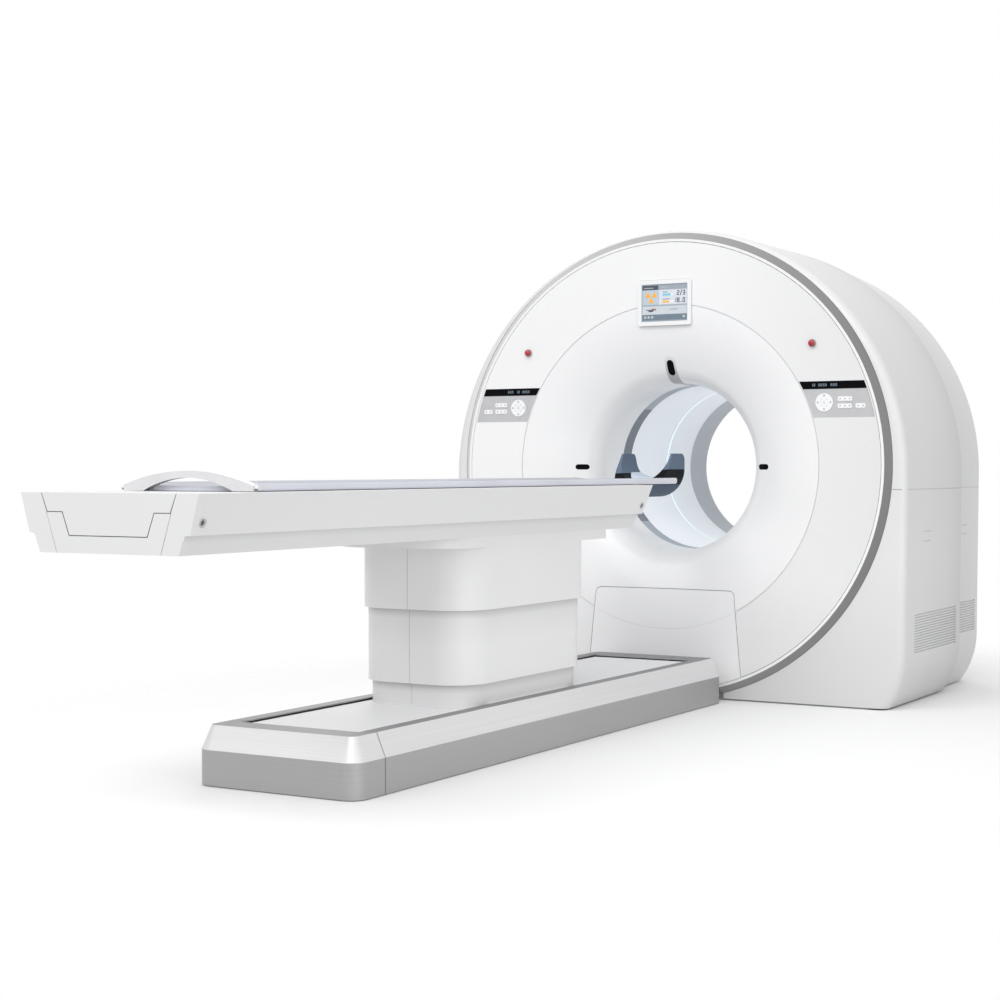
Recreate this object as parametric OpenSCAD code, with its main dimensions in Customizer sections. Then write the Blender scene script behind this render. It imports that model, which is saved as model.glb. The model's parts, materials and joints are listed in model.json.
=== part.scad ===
// Whole-body scanner: a ring-shaped gantry with a wide bore, and a patient couch on a travelling pedestal.
// Origin: on the floor, under the bore axis, where the front and rear halves of the gantry meet.
// +Z is up, the couch lies towards -Y, and +X is to the right for someone facing the gantry's front.

/* [Bore] */
// Radius of the patient bore
bore_r = 350; // [335:1:365]
// Gap between the floor and the round front cover
floor_clear = 32; // [28:1:40]
// Wall of the tunnel liner and its end rings
liner_t = 8; // [5:0.5:10]
// Length of the scan window along the bore
window_l = 82; // [70:1:90]
// Distance from the middle plane back to the rear end ring
rear_ring_at = 288; // [270:1:320]
// Distance from the middle plane to the light line, towards the front
light_at = -28; // [-40:1:60]
// Width of the light line
light_w = 5; // [4:0.5:12]

/* [Front cover] */
// Width of the funnel, from the bore to its seam
funnel_w = 321; // [310:1:335]
// Length of the funnel along the bore
funnel_l = 162; // [150:1:175]
// Radius of the funnel's lip next to the bore
lip_r = 110; // [95:1:125]
// Length of the straight neck behind the funnel
neck_l = 165; // [155:1:170]
// Width of the flat face round the funnel
face_w = 252; // [245:1:262]
// How far the flat face stands out from the enclosure
face_out = 23; // [20:1:28]
// Thickness of the front mouldings
cover_t = 6; // [5:0.5:8]
// Width of the white rim round the front cover
rim_w = 11; // [8:0.5:14]
// Radial width of the silver trim ring
trim_w = 27; // [20:1:32]
// Open seam between the front cover and its rim
rim_gap = 2; // [1:0.5:3]
// Width of the grooves along the seams
groove_w = 4; // [2:0.5:6]
// Depth of the grooves along the seams
groove_d = 3; // [2:0.5:3.5]

/* [Enclosure] */
// Width of the white band beside the trim ring
side_band = 57; // [50:1:65]
// How far the arch's centre lies below the bore axis
arch_drop = 43; // [36:1:50]
// Distance from the middle plane to the enclosure's front plate
front_f = 745; // [735:1:760]
// Distance from the middle plane to the rear face
rear_f = 478; // [465:1:500]
// How much narrower the rear half is on each side
rear_step = 40; // [30:1:50]
// How much higher the rear half's arch centre is
rear_rise = 16; // [0:1:20]
// Thickness of the enclosure's skins
skin = 8; // [6:0.5:10]
// Rounding of the front edge
edge_r = 35; // [25:1:45]
// Rounding of the rear edge
rear_edge_r = 80; // [60:1:95]
// Radius of the tucked-in bottom corners
tuck_r = 360; // [320:1:400]
// Height at which the sides begin to tuck in
tuck_h = 220; // [200:1:240]
// Drop from the bore axis to the seam between upper covers and side panels
seam_drop = 88; // [75:1:100]
// Gap under the skins
floor_gap = 6; // [4:1:10]
// Radius of the round rear cover
rear_cover_r = 640; // [600:1:680]
// Number of louvre slots in each front side panel
louvres = 15; // [10:1:16]
// Spacing of the louvre slots
louvre_pitch = 10.6; // [8:0.1:11]
// Height of one louvre slot
louvre_h = 4; // [3:0.5:5]
// Depth of the louvre slots
louvre_d = 5; // [3:0.5:5.5]

/* [Controls] */
// Height of the key pads' lower edge above the bore axis
pad_up = 195; // [188:1:202]
// Height of a key pad
pad_tall = 112; // [105:1:118]
// Height of a black display strip
strip_tall = 31; // [26:1:36]
// Depth of the pockets that hold the panels
inlay_t = 4; // [2:0.5:4.5]
// Clearance round pieces that are let in or slide
clear = 0.4; // [0.3:0.05:0.6]
// Radius of the round navigation pads
dial_r = 36; // [30:1:38]
// Width of a key block
key_w = 58; // [50:1:62]
// Height of a key block
key_h = 18; // [15:1:20]
// Angle of the emergency stops above the bore axis
stop_angle = 37.4; // [36:0.1:39]
// Radius of the emergency stop's red head
stop_r = 13; // [11:0.5:16]
// Travel of an emergency stop
stop_travel = 6; // [3:0.5:6]
// Width of the monitor's bezel
monitor_w = 240; // [220:1:260]
// Height of the monitor's bezel
monitor_h = 187; // [175:1:200]
// Width of the bezel's border
bezel = 17; // [12:0.5:22]
// How far the bezel stands out from the face
bezel_out = 7; // [4:0.5:10]
// Length of the top laser's window
laser_l = 62; // [50:1:70]
// Width of the top laser's window
laser_w = 30; // [24:1:34]
// Length of a side laser's window
side_laser_l = 52; // [46:1:60]
// Width of a side laser's window
side_laser_w = 22; // [18:1:26]
// Width of the top laser's bracket
bracket_w = 48; // [40:1:56]

/* [Service cover] */
// Half width of the service cover at its top
service_top_w = 312; // [300:1:320]
// Half width of the service cover at its foot
service_foot_w = 352; // [345:1:360]
// Drop from the bore axis to its upper edge
service_drop = 505; // [495:1:515]
// Height of its lower edge
service_h0 = 45; // [40:1:60]
// Rounding of its upper corners
service_r = 24; // [15:1:35]

/* [Plinth] */
// Gap between the gantry's face and the plinth
plinth_gap = 55; // [45:1:70]
// Length of the plinth
plinth_l = 2650; // [2600:1:2700]
// Half the width of the plinth
plinth_w = 294; // [288:1:302]
// Height of the plinth's upright wall
plinth_wall = 110; // [104:1:116]
// Height of the sloping wall
plinth_slope = 72; // [66:1:78]
// How far the sloping wall leans in
plinth_lean = 31; // [26:1:34]
// Width of the flat rim along the sides
rim_flat = 46; // [42:1:50]
// Width of the flat deck at the foot end
foot_deck = 95; // [85:1:105]
// Width of the flat deck at the head end
head_deck = 116; // [105:1:120]
// Rounding of the plinth's corners in plan
plinth_corner = 56; // [48:1:64]
// Sheet thickness of the plinth's trims
trim_t = 4; // [3:0.5:5]
// Drop from the rim to the white track plate
plate_drop = 8; // [6:1:10]
// Open slot beside the track plate for the carriage's arms
arm_slot = 8; // [7:0.5:10]
// Length of the end trims along the sides
end_trim_l = 149; // [135:1:160]

/* [Pedestal] */
// Distance from the plinth's head end to the column
column_set = 1035; // [1025:1:1050]
// Length of the outermost column cover
column_l = 886; // [870:1:900]
// Corner rounding of the outermost column cover
column_r = 140; // [120:1:150]
// Step from one column cover to the next
column_step = 13; // [12:0.5:16]
// Wall of the column covers
column_t = 4; // [3:0.5:5]
// Height of the lower column cover in view
lower_tall = 70; // [66:1:76]
// Height of the middle column cover in view
middle_tall = 242; // [236:1:246]
// Height of the top column cover
top_tall = 204; // [198:1:210]
// Overlap of one cover with the next
cover_lap = 12; // [10:1:14]
// Travel of the couch lift
lift_travel = 280; // [250:1:280]
// How far the lift flange reaches past the column at the foot side
flange_foot_over = 124; // [110:1:135]
// How far the lift flange reaches past the column at the head side
flange_head_over = 84; // [75:1:100]
// Thickness of the lift flange
flange_t = 33; // [31:1:36]
// How far the lift flange stands out from the column's sides
flange_out = 2; // [1:0.5:4]
// Outer radius of the fixed lift tube
tube_r = 75; // [65:1:85]
// Wall of the lift tubes
tube_t = 7; // [5:0.5:9]

/* [Couch] */
// Distance from the plinth's head end to the beam's head end
beam_set = 697; // [685:1:710]
// Length of the beam with its cap
beam_len = 2659; // [2620:1:2700]
// Height of the beam
beam_tall = 158; // [152:1:162]
// Height of the ledge above the beam's underside
ledge_up = 51; // [45:1:56]
// Half width of the beam at its top
beam_top_w = 301; // [292:1:305]
// Half width of the beam just above the ledge
ledge_w = 271; // [266:1:275]
// Depth of the ledge
ledge_in = 17; // [12:1:20]
// Half width of the beam's underside
beam_low_w = 234; // [230:1:238]
// How far the beam's head end rakes back
beam_rake = 41; // [30:1:55]
// Wall of the beam
beam_t = 8; // [6:0.5:10]
// Length of the moulded cap on the beam's foot end
cap_l = 60; // [50:1:70]
// Half width of the slot for the pallet's runner
slot_w = 60; // [50:1:70]
// Half width of the pallet
pallet_w = 225; // [215:1:232]
// How far the pallet reaches past the beam's head end
pallet_over = 384; // [370:1:395]
// Distance from the beam's foot end to the pallet's foot end
pallet_set = 344; // [330:1:360]
// Gap between the beam and the pallet
pallet_gap = 1.5; // [1:0.5:4]
// Thickness of the pallet's edges
pallet_t = 24; // [21:1:27]
// Depth of the hollow along the pallet's middle
pallet_dip = 13; // [8:1:14]
// Thickness of the handle along the couch
handle_t = 22; // [18:1:28]
// Height of the handle's arch above its feet
handle_rise = 55; // [50:1:60]
// Height of the handle's outer feet
handle_foot_h = 16; // [15:1:20]
// Width of the handle's bar at its crown
handle_bar = 19; // [16:1:22]
// Width of the handle's feet
handle_foot_w = 70; // [55:1:80]

/* [Head holder] */
// Outer radius of the head holder's round underside
holder_r = 114; // [110:1:118]
// Height of that radius's centre above the pallet's underside
holder_up = 58; // [54:1:62]
// Height of the ears' tops above the same centre
ear_up = 62; // [56:1:68]
// Radius of the hollow for the head
trough_r = 104; // [98:1:106]
// Height of the hollow's centre above the outer centre
trough_up = 48; // [48:1:54]
// Gap between the pallet's end and the ears' tops
ear_gap = 206; // [198:1:214]
// Length of the ears' tops along the couch
ear_l = 114; // [106:1:120]
// How far the ears' foot side leans
ear_lean = 96; // [80:1:104]
// Thickness of the head pad at its lowest line
pad_t = 20; // [15:1:24]
// Depth of the pad's hollow
pad_dip = 26; // [22:1:30]

/* [Hidden] */
$fn = 96;
far = 6000;
cut = 1;

white = "#ecebea";
grey_trim = "#a9adb3";
silver = "#b9bcc0";
steel = "#8d9299";
pale_blue = "#dfe8f0";
lavender = "#c9cbdd";
slate = "#5d6b7a";
black = "#1d1f22";

// Gantry sizes that follow from the driving ones
run_gap = 0.3;
seam_r = bore_r + funnel_w;
disc_r = seam_r + face_w;
iso_h = disc_r + floor_clear;
face_f = front_f + face_out;
rim_r0 = disc_r + rim_gap;
front_open_w = service_foot_w - 90;
rim_open_w = front_open_w - 10;
rim_r1 = rim_r0 + rim_w;
trim_r1 = rim_r1 + trim_w;
arch_r = trim_r1 + side_band;
arch_h = iso_h - arch_drop;
rear_r = arch_r - rear_step;
rear_h = arch_h + rear_rise;
seam_h = iso_h - seam_drop;
ring_bed = front_f - skin;
neck_f = face_f - funnel_l;
window_front = neck_f - neck_l;
window_back = window_front - window_l;
liner_r = bore_r + liner_t;
service_h1 = iso_h - service_drop;
// Radius of the funnel's wide arc, so that it meets the lip arc on one tangent
sweep_r = (pow(funnel_w - lip_r, 2) + funnel_l * funnel_l - lip_r * lip_r) / (2 * (funnel_l - lip_r));
sweep_f = face_f - sweep_r;
blend_a = atan2(neck_f - sweep_f, funnel_w - lip_r);

// Places of the controls
pad_h0 = iso_h + pad_up;
strip_h0 = pad_h0 + pad_tall;
strip_h1 = strip_h0 + strip_tall;
dial_up = pad_up + pad_tall / 2 + 3;
dial_h = iso_h + dial_up;
dial_x = sqrt(seam_r * seam_r - dial_up * dial_up) + dial_r + 33;
key_rise = [-0.8 * key_h, 0.75 * key_h];
key_x0 = dial_x + dial_r + 20 + key_w / 2;
key_x1 = key_x0 + 1.1 * key_w;
stop_at = seam_r + 0.53 * face_w;
stop_x = stop_at * cos(stop_angle);
stop_h = iso_h + stop_at * sin(stop_angle);
monitor_z = iso_h + seam_r + 5;
laser_at = bore_r + laser_l;
bracket_top = bore_r + 1.7 * laser_l;

// Gantry works: the turning ring behind the front half, the detector ring in the rear half
base_h = 60;
base_w = arch_r - 150;
base_rear_w = rear_r - 200;
stator_f = window_front + 59;
stator_t = 40;
stator_r = disc_r - 63;
bearing_r0 = bore_r + 250;
bearing_r1 = bearing_r0 + 40;
bearing_l = 30;
rotor_r0 = bore_r + 70;
rotor_r1 = stator_r - 30;
rotor_f = window_front - 1;
rotor_t = 25;
tube_orbit = bore_r + 290;
xray_r = 110;
xray_l = 90;
detector_r0 = bore_r + 210;
detector_r1 = detector_r0 + 80;
detector_span = 80;
unit_w = 180;
unit_h = 300;
pet_f = -40;
pet_t = 20;
pet_l = 260;
pet_r = rear_r - 160;
crystal_r0 = bore_r + 35;
crystal_r1 = crystal_r0 + 85;
crystal_w = 56;
crystals = 36;
leg_x0 = 300;
leg_x1 = 460;
leg_top = 330;

// Couch sizes that follow from the driving ones
plinth_head = face_f + plinth_gap;
plinth_foot = plinth_head + plinth_l;
plinth_mid = -(plinth_foot + plinth_head) / 2;
plinth_rim = plinth_wall + plinth_slope;
rim_in = plinth_lean + rim_flat;
plate_h = plinth_rim - plate_drop;
plate_t = 6;
plate_w = plinth_w - rim_in - arm_slot;
trim_floor = 3;
lower_gap = 3;
column_w = plate_w - lower_gap + 2 * column_step;
column_foot = plinth_head + column_set + column_l;
column_mid = column_l / 2 - column_foot;
frame_t = 6;
frame_h0 = plate_h + run_gap;
frame_h1 = frame_h0 + frame_t;
arm_t = 5;
arm_x = plinth_w - rim_in - arm_slot / 2;
arm_l = 560;
rail_x = arm_x - 33;
rail_w = 24;
rail_h1 = 60;
shoe_h = 45;
mid_cover_h = frame_h1 + lower_tall;
top_cover_h = mid_cover_h + middle_tall;
flange_h0 = top_cover_h + top_tall;
beam_h0 = flange_h0 + flange_t;
beam_h1 = beam_h0 + beam_tall;
ledge_h = beam_h0 + ledge_up;
flange_l = column_l + flange_foot_over + flange_head_over;
flange_foot = column_foot + flange_foot_over;
lip_h = 6;
stage_h = beam_h0 - lift_travel - frame_h1 - 2;
stage_lap = (3 * stage_h - (beam_h0 - frame_h1)) / 2;
tube_gap = 0.3;
tube_spread = column_l / 4;
beam_head = plinth_head + beam_set;
beam_foot = beam_head + beam_len;
beam_l = beam_len - cap_l;
runner_neck = slot_w - 8;
runner_foot = 20;
runner_h0 = beam_h1 - 25;
rail_t = 10;
pallet_head = beam_head - pallet_over;
pallet_foot = beam_foot - pallet_set;
pallet_h0 = beam_h1 + pallet_gap;
pallet_h1 = pallet_h0 + pallet_t;
holder_z = pallet_h0 + holder_up;
ear_h = holder_z + ear_up;
ear_foot = pallet_head - ear_gap;
ear_low = ear_foot + ear_lean;
holder_foot = pallet_head - 6;
holder_head = ear_foot - ear_l;

// The gantry is drawn facing forward: x to the right, y up, z towards the couch.
module facing_front() { rotate([90, 0, 0]) children(); }

// A plain ring round the bore axis.
module bore_ring(r0, r1, f0, f1) {
    translate([0, iso_h, 0]) rotate_extrude() translate([r0, f0]) square([r1 - r0, f1 - f0]);
}

// Half section of a block with one rounded edge, e_front at its front or e_rear at its back.
module edge_profile(r, f0, f1, e_front, e_rear) {
    e = max(e_front, e_rear);
    translate([0, f0]) square([r - e, f1 - f0]);
    translate([0, f0 + e_rear]) square([r, f1 - f0 - e]);
    if (e_front > 0) translate([r - e, f1 - e]) circle(e);
    if (e_rear > 0) translate([r - e, f0 + e]) circle(e);
}

// An arch over upright sides whose lower corners tuck in.
module horseshoe(r, h, f0, f1, e_front, e_rear, corner) {
    intersection() {
        union() {
            translate([0, h, 0]) rotate_extrude(angle = 180) edge_profile(r, f0, f1, e_front, e_rear);
            translate([0, h, 0]) rotate([90, 0, 0]) linear_extrude(h - tuck_h) {
                edge_profile(r, f0, f1, e_front, e_rear);
                mirror([1, 0, 0]) edge_profile(r, f0, f1, e_front, e_rear);
            }
            for (s = [0, 1]) mirror([s, 0, 0]) translate([r - corner, tuck_h, 0])
                rotate([0, 0, -90]) rotate_extrude(angle = 90) edge_profile(corner, f0, f1, e_front, e_rear);
            translate([corner - r, 0, f0]) cube([2 * (r - corner), tuck_h, f1 - f0]);
        }
        translate([-far / 2, floor_gap, -far / 2]) cube(far);
    }
}

// Skin of the front half: front plate, sides, and a return at the back where the rear half begins.
module front_shell() {
    difference() {
        horseshoe(arch_r, arch_h, 0, front_f, edge_r, 0, tuck_r);
        horseshoe(arch_r - skin, arch_h, skin, front_f - skin, edge_r - skin, 0, tuck_r - skin);
        horseshoe(rear_r - 3 * skin, rear_h, -cut, skin + cut, 0, 0, tuck_r - 3 * skin);
        translate([0, iso_h, 0]) cylinder(r = trim_r1 + run_gap, h = front_f + cut);
        seam_grooves(arch_r, arch_h, front_f);
    }
}

// Skin of the rear half, open to the front.
module rear_shell() {
    difference() {
        horseshoe(rear_r, rear_h, -rear_f, 0, 0, rear_edge_r, tuck_r);
        horseshoe(rear_r - skin, rear_h, skin - rear_f, cut, 0, rear_edge_r - skin, tuck_r - skin);
        translate([0, iso_h, -far / 2]) cylinder(r = rear_cover_r + clear, h = far);
        translate([0, 0, -rear_f]) seam_grooves(rear_r, rear_h, rear_f);
        groove_shell(rear_r, rear_h, -groove_w, cut);
    }
}

// The outer layer of an enclosure half, as deep as a groove.
module groove_shell(r, h, f0, f1) {
    difference() {
        translate([-far / 2, -far / 2, f0]) cube([far, far, f1 - f0]);
        horseshoe(r - groove_d, h, f0 - cut, f1 + cut, 0, 0, tuck_r - groove_d);
    }
}

// Grooves where the covers meet: one along the top and one round the sides.
module seam_grooves(r, h, depth) {
    translate([-groove_w / 2, h + r - groove_d, -cut]) cube([groove_w, far, depth + 2 * cut]);
    for (s = [0, 1]) mirror([s, 0, 0])
        translate([r - groove_d, seam_h - groove_w / 2, -cut]) cube([far, groove_w, depth + 2 * cut]);
}

// Right-hand part of a shell between two heights.
module right_part(x0, h0, h1) {
    intersection() {
        children();
        translate([x0, h0, -far / 2]) cube([far, h1 - h0, far]);
    }
}

module front_upper() { facing_front() right_part(0, seam_h, far) front_shell(); }
module rear_upper() { facing_front() right_part(0, seam_h, far) rear_shell(); }

// A column of louvre slots in a side panel.
module louvre_slots(r, f0, f1, h0, count) {
    for (i = [0 : count - 1])
        translate([r - louvre_d, h0 + i * louvre_pitch, f0]) cube([far, louvre_h, f1 - f0]);
}

// The small latch recess below the side seam.
module latch_recess(r, f0, f1, h1) {
    for (h = [h1 - 42, h1 - groove_w])
        translate([r - groove_d, h, f0]) cube([far, groove_w, f1 - f0]);
}

module front_side() {
    facing_front() difference() {
        right_part(front_open_w, 0, seam_h) front_shell();
        louvre_slots(arch_r, 58, front_f - 117, tuck_h, louvres);
        latch_recess(arch_r, front_f - 317, front_f - 230, seam_h - 167);
    }
}

module rear_side() {
    facing_front() difference() {
        right_part(0, 0, seam_h) rear_shell();
        louvre_slots(rear_r, 110 - rear_f, -139, tuck_h + 2 * louvre_pitch, louvres - 2);
        latch_recess(rear_r, -227, -158, seam_h - 160);
    }
}

// Steel weldment on the floor that carries both rings and the covers' lower edges.
module gantry_base() {
    color(steel) facing_front() difference() {
        union() {
            translate([-base_w, 0, 0]) cube([2 * base_w, base_h, ring_bed]);
            translate([-base_rear_w, 0, skin - rear_f]) cube([2 * base_rear_w, base_h, rear_f]);
        }
        translate([-leg_x0 + 20, -cut, pet_f - pet_l]) cube([2 * leg_x0 - 40, far, stator_f - pet_f + pet_l]);
    }
}

module front_upper_cover_l() { color(white) mirror([1, 0, 0]) front_upper(); }
module front_upper_cover_r() { color(white) front_upper(); }
module front_side_panel_l() { color(white) mirror([1, 0, 0]) front_side(); }
module front_side_panel_r() { color(white) front_side(); }
module rear_upper_cover_l() { color(white) mirror([1, 0, 0]) rear_upper(); }
module rear_upper_cover_r() { color(white) rear_upper(); }
module rear_side_panel_l() { color(white) mirror([1, 0, 0]) rear_side(); }
module rear_side_panel_r() { color(white) rear_side(); }

// Round cover on the back, with a short collar that takes the tunnel's end.
module rear_cover() {
    color(white) facing_front() {
        bore_ring(liner_r, rear_cover_r, -rear_f, skin - rear_f);
        bore_ring(liner_r, liner_r + skin, skin - rear_f, 4 * skin - rear_f);
    }
}

// Outline of the service cover, grown by a margin; the upper corners are round.
module service_outline(grow) {
    h1 = service_h1 + grow;
    h0 = service_h0 - grow;
    rise = service_h1 - service_h0;
    spread = service_foot_w - service_top_w;
    lean = atan2(spread, rise);
    r = service_r + grow;
    side = grow / cos(lean);
    x_at = service_top_w + side + (service_h1 - h1 + r) * spread / rise;
    cx = x_at - r / cos(lean);
    foot = service_foot_w + side + grow * spread / rise;
    corner = [for (i = [0 : 6]) [cx + r * sin(i * (90 - lean) / 6), h1 - r + r * cos(i * (90 - lean) / 6)]];
    polygon(concat(
        corner, [[foot, h0], [-foot, h0]],
        [for (i = [6 : -1 : 0]) [-corner[i][0], corner[i][1]]]
    ));
}

module service_prism(grow) { translate([0, 0, neck_f]) linear_extrude(2 * funnel_l) service_outline(grow); }

// Open ends of the rim and the trim ring, behind the plinth's head end.
module rim_gap_prism() { translate([-rim_open_w, -far, 0]) cube([2 * rim_open_w, far + iso_h / 2, far]); }

// Silver bevelled ring between the front cover and the enclosure.
module trim_ring() {
    color(silver) facing_front() difference() {
        translate([0, iso_h, 0]) rotate_extrude() polygon([
            [rim_r1, ring_bed], [trim_r1, ring_bed], [trim_r1, front_f - 3],
            [rim_r1 + 1.5, face_f - 1], [rim_r1, face_f - 1]
        ]);
        rim_gap_prism();
        translate([-far / 2, -far, 0]) cube([far, far, far]);
    }
}

// White rim inside the trim ring, with a ledge behind the front cover.
module front_rim() {
    color(white) facing_front() difference() {
        union() {
            bore_ring(rim_r0, rim_r1, ring_bed, face_f);
            bore_ring(rim_r0 - 3 * cover_t, rim_r0, ring_bed, ring_bed + cover_t);
        }
        rim_gap_prism();
    }
}

// One arc of a moulded wall: from angle a0 to a1, round a centre.
module wall_arc(c, r, t, a0, a1) {
    translate(c) intersection() {
        difference() {
            circle(r);
            circle(r - t);
        }
        polygon([[0, 0], for (i = [0 : 4]) 2 * r * [cos(a0 + (a1 - a0) * i / 4), sin(a0 + (a1 - a0) * i / 4)]]);
    }
}

// Half section of the funnel: a wide sweep that runs into the tight lip, then the straight neck.
module funnel_profile(t) {
    wall_arc([seam_r, sweep_f], sweep_r, t, 90, 180 - blend_a);
    wall_arc([bore_r + lip_r, neck_f], lip_r, t, 180 - blend_a, 180);
    translate([bore_r, window_front]) square([t, neck_f - window_front]);
}

// Half section of the round front cover: a flat face with a rim turned back at its edge.
module face_profile(t) {
    translate([seam_r, face_f - t]) square([disc_r - seam_r, t]);
    translate([disc_r - t, ring_bed + cover_t]) square([t, face_f - ring_bed - cover_t]);
}

module seam_ring() { bore_ring(seam_r - groove_w / 2, seam_r + groove_w / 2, face_f - groove_d, face_f + cut); }

// Area of a panel let into the front cover, between two heights on the right-hand side.
module panel_area(h0, h1, shrink) {
    intersection() {
        translate([0, iso_h]) difference() {
            circle(disc_r - 4 * shrink - cover_t);
            circle(seam_r + groove_w + 2 * shrink);
        }
        translate([0, h0 + shrink]) square([far, h1 - h0 - 2 * shrink]);
    }
}

module panel_pockets() {
    for (s = [0, 1]) mirror([s, 0, 0])
        translate([0, 0, face_f - inlay_t]) linear_extrude(far) panel_area(pad_h0, strip_h1, 0);
}

module stop_bores() {
    for (s = [-1, 1]) translate([s * stop_x, stop_h, 0]) cylinder(r = stop_r / 2 + clear, h = far);
}

module monitor_block(grow, f0, f1) {
    r = max(10 + grow, 3);
    w = monitor_w / 2 + grow;
    h = monitor_h / 2 + grow;
    translate([0, monitor_z, f0]) linear_extrude(f1 - f0) {
        square([2 * w, 2 * (h - r)], center = true);
        square([2 * (w - r), 2 * h], center = true);
        for (x = [-1, 1], y = [-1, 1]) translate([x * (w - r), y * (h - r)]) circle(r);
    }
}

module front_cover() {
    color(white) facing_front() difference() {
        translate([0, iso_h, 0]) rotate_extrude() face_profile(cover_t);
        service_prism(clear);
        translate([-service_foot_w, 0, 0]) cube([2 * service_foot_w, service_h0 + cut, far]);
        panel_pockets();
        stop_bores();
        monitor_block(clear, 0, far);
        seam_ring();
    }
}

// A slot-shaped prism that points to the front, lying along a direction.
module slot_prism(x, h, l, w, a) {
    translate([x, h, 0]) rotate([0, 0, a]) linear_extrude(far) {
        square([l - w, w], center = true);
        for (s = [-1, 1]) translate([s * (l - w) / 2, 0]) circle(w / 2);
    }
}

// Places of the laser windows on the funnel: one at the top, one at each side.
module laser_slots(grow) {
    for (s = [-1, 1]) slot_prism(s * laser_at, iso_h, side_laser_l + 2 * grow, side_laser_w + 2 * grow, 0);
}

// Plan of the top laser bracket: a tongue that follows the funnel down to the bore.
module bracket_prism(grow) {
    w = bracket_w + 2 * grow;
    linear_extrude(far) {
        translate([-w / 2, iso_h + bore_r / 2]) square([w, bracket_top - bore_r / 2 - bracket_w / 2]);
        translate([0, iso_h + bracket_top - bracket_w / 2]) circle(w / 2);
    }
}

module bracket_clip() { translate([0, 0, window_front + 4]) children(); }

module funnel() {
    color(white) facing_front() difference() {
        translate([0, iso_h, 0]) rotate_extrude() funnel_profile(cover_t);
        service_prism(clear);
        monitor_block(clear, 0, far);
        seam_ring();
        translate([0, 0, neck_f]) laser_slots(clear);
        bracket_clip() bracket_prism(clear);
    }
}

// The funnel's wide sweep and the flat face as one skin, from a depth below the surface.
module front_skin(depth, t) {
    translate([0, iso_h, 0]) rotate([0, 0, 210]) rotate_extrude(angle = 120) {
        wall_arc([seam_r, sweep_f], sweep_r - depth, t, 90, 180 - blend_a);
        translate([seam_r, face_f - depth - t]) square([disc_r - seam_r, t]);
    }
}

// Removable cover at the foot of the front: it carries on the funnel and the flat face.
module service_cover() {
    color(white) facing_front() {
        intersection() {
            front_skin(0, cover_t);
            service_prism(-groove_w / 2);
        }
        intersection() {
            front_skin(groove_d, cover_t - groove_d);
            service_prism(0);
        }
    }
}

module right_and_left() {
    children();
    mirror([1, 0, 0]) children();
}

module inlay(f1) { translate([0, 0, face_f - inlay_t]) linear_extrude(f1 - face_f + inlay_t) children(); }

// Grey key pads on both sides of the front cover.
module control_pads() {
    color(grey_trim) facing_front() right_and_left() difference() {
        inlay(face_f) panel_area(pad_h0, strip_h0, clear);
        key_field(clear, face_f - inlay_t / 2, far);
    }
}

// Black glass strips above the key pads.
module display_strips() {
    color(black) facing_front() right_and_left() inlay(face_f + 0.5) panel_area(strip_h0, strip_h1, clear);
}

// The round pad and the keys of one panel.
module key_field(grow, f0, f1) {
    dial_field(grow, f0, f1);
    key_blocks(grow, f0, f1);
}

module dial_field(grow, f0, f1) {
    translate([dial_x, dial_h, f0]) cylinder(r = dial_r + grow, h = f1 - f0);
}

module key_blocks(grow, f0, f1) {
    h = key_h + 2 * grow;
    for (rise = key_rise) translate([key_x0, dial_h + rise, f0]) rounded_block(key_w + 2 * grow, h, 4, f1 - f0);
    translate([key_x1, dial_h + key_rise[0], f0]) rounded_block(0.7 * key_w + 2 * grow, h, 4, f1 - f0);
}

module rounded_block(w, h, r, t) {
    linear_extrude(t) {
        square([w, h - 2 * r], center = true);
        square([w - 2 * r, h], center = true);
        for (x = [-1, 1], y = [-1, 1]) translate([x * (w / 2 - r), y * (h / 2 - r)]) circle(r);
    }
}

module round_pads() {
    color(white) facing_front() right_and_left() difference() {
        dial_field(0, face_f - inlay_t / 2, face_f + 1.5);
        translate([dial_x, dial_h, face_f + 0.5]) difference() {
            cylinder(r = dial_r / 2 + 1, h = far);
            translate([0, 0, -cut]) cylinder(r = dial_r / 2 - 1, h = far);
        }
    }
}

module panel_keys() {
    color(white) facing_front() right_and_left() key_blocks(0, face_f - inlay_t / 2, face_f + 1.5);
}

// Monitor: a white bezel let into the front, and its glass.
module monitor_bezel() {
    color(white) facing_front() difference() {
        monitor_block(0, face_f - 30, face_f + bezel_out);
        monitor_block(-bezel, face_f + bezel_out - 8, far);
    }
}

module monitor_screen() {
    color("#8fa3b5") facing_front() monitor_block(-bezel - clear, face_f + bezel_out - 8, face_f + bezel_out - 3);
}

// Grey bracket of the top laser, on the funnel's curve.
module laser_bracket() {
    color(grey_trim) facing_front() difference() {
        intersection() {
            translate([0, iso_h, 0]) rotate_extrude() funnel_profile(cover_t);
            bracket_clip() bracket_prism(0);
        }
        slot_prism(0, iso_h + laser_at, laser_l + 2 * clear, laser_w + 2 * clear, 90);
    }
}

// Dark windows of the three positioning lasers.
module laser_windows() {
    color(black) facing_front() intersection() {
        translate([0, iso_h, 0]) rotate_extrude() funnel_profile(cover_t);
        union() {
            translate([0, 0, neck_f]) laser_slots(0);
            slot_prism(0, iso_h + laser_at, laser_l, laser_w, 90);
        }
    }
}

module scan_window() { color(steel) facing_front() bore_ring(bore_r, liner_r, window_back, window_front); }

module tunnel_liner() {
    color(pale_blue) facing_front() difference() {
        bore_ring(bore_r, liner_r, -rear_ring_at, window_back);
        bore_ring(0, bore_r + liner_t / 2, light_at - clear, light_at + light_w + clear);
    }
}

module light_ring() {
    color("#e8fbff") facing_front() bore_ring(bore_r, bore_r + liner_t / 2 - clear, light_at, light_at + light_w);
}

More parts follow.
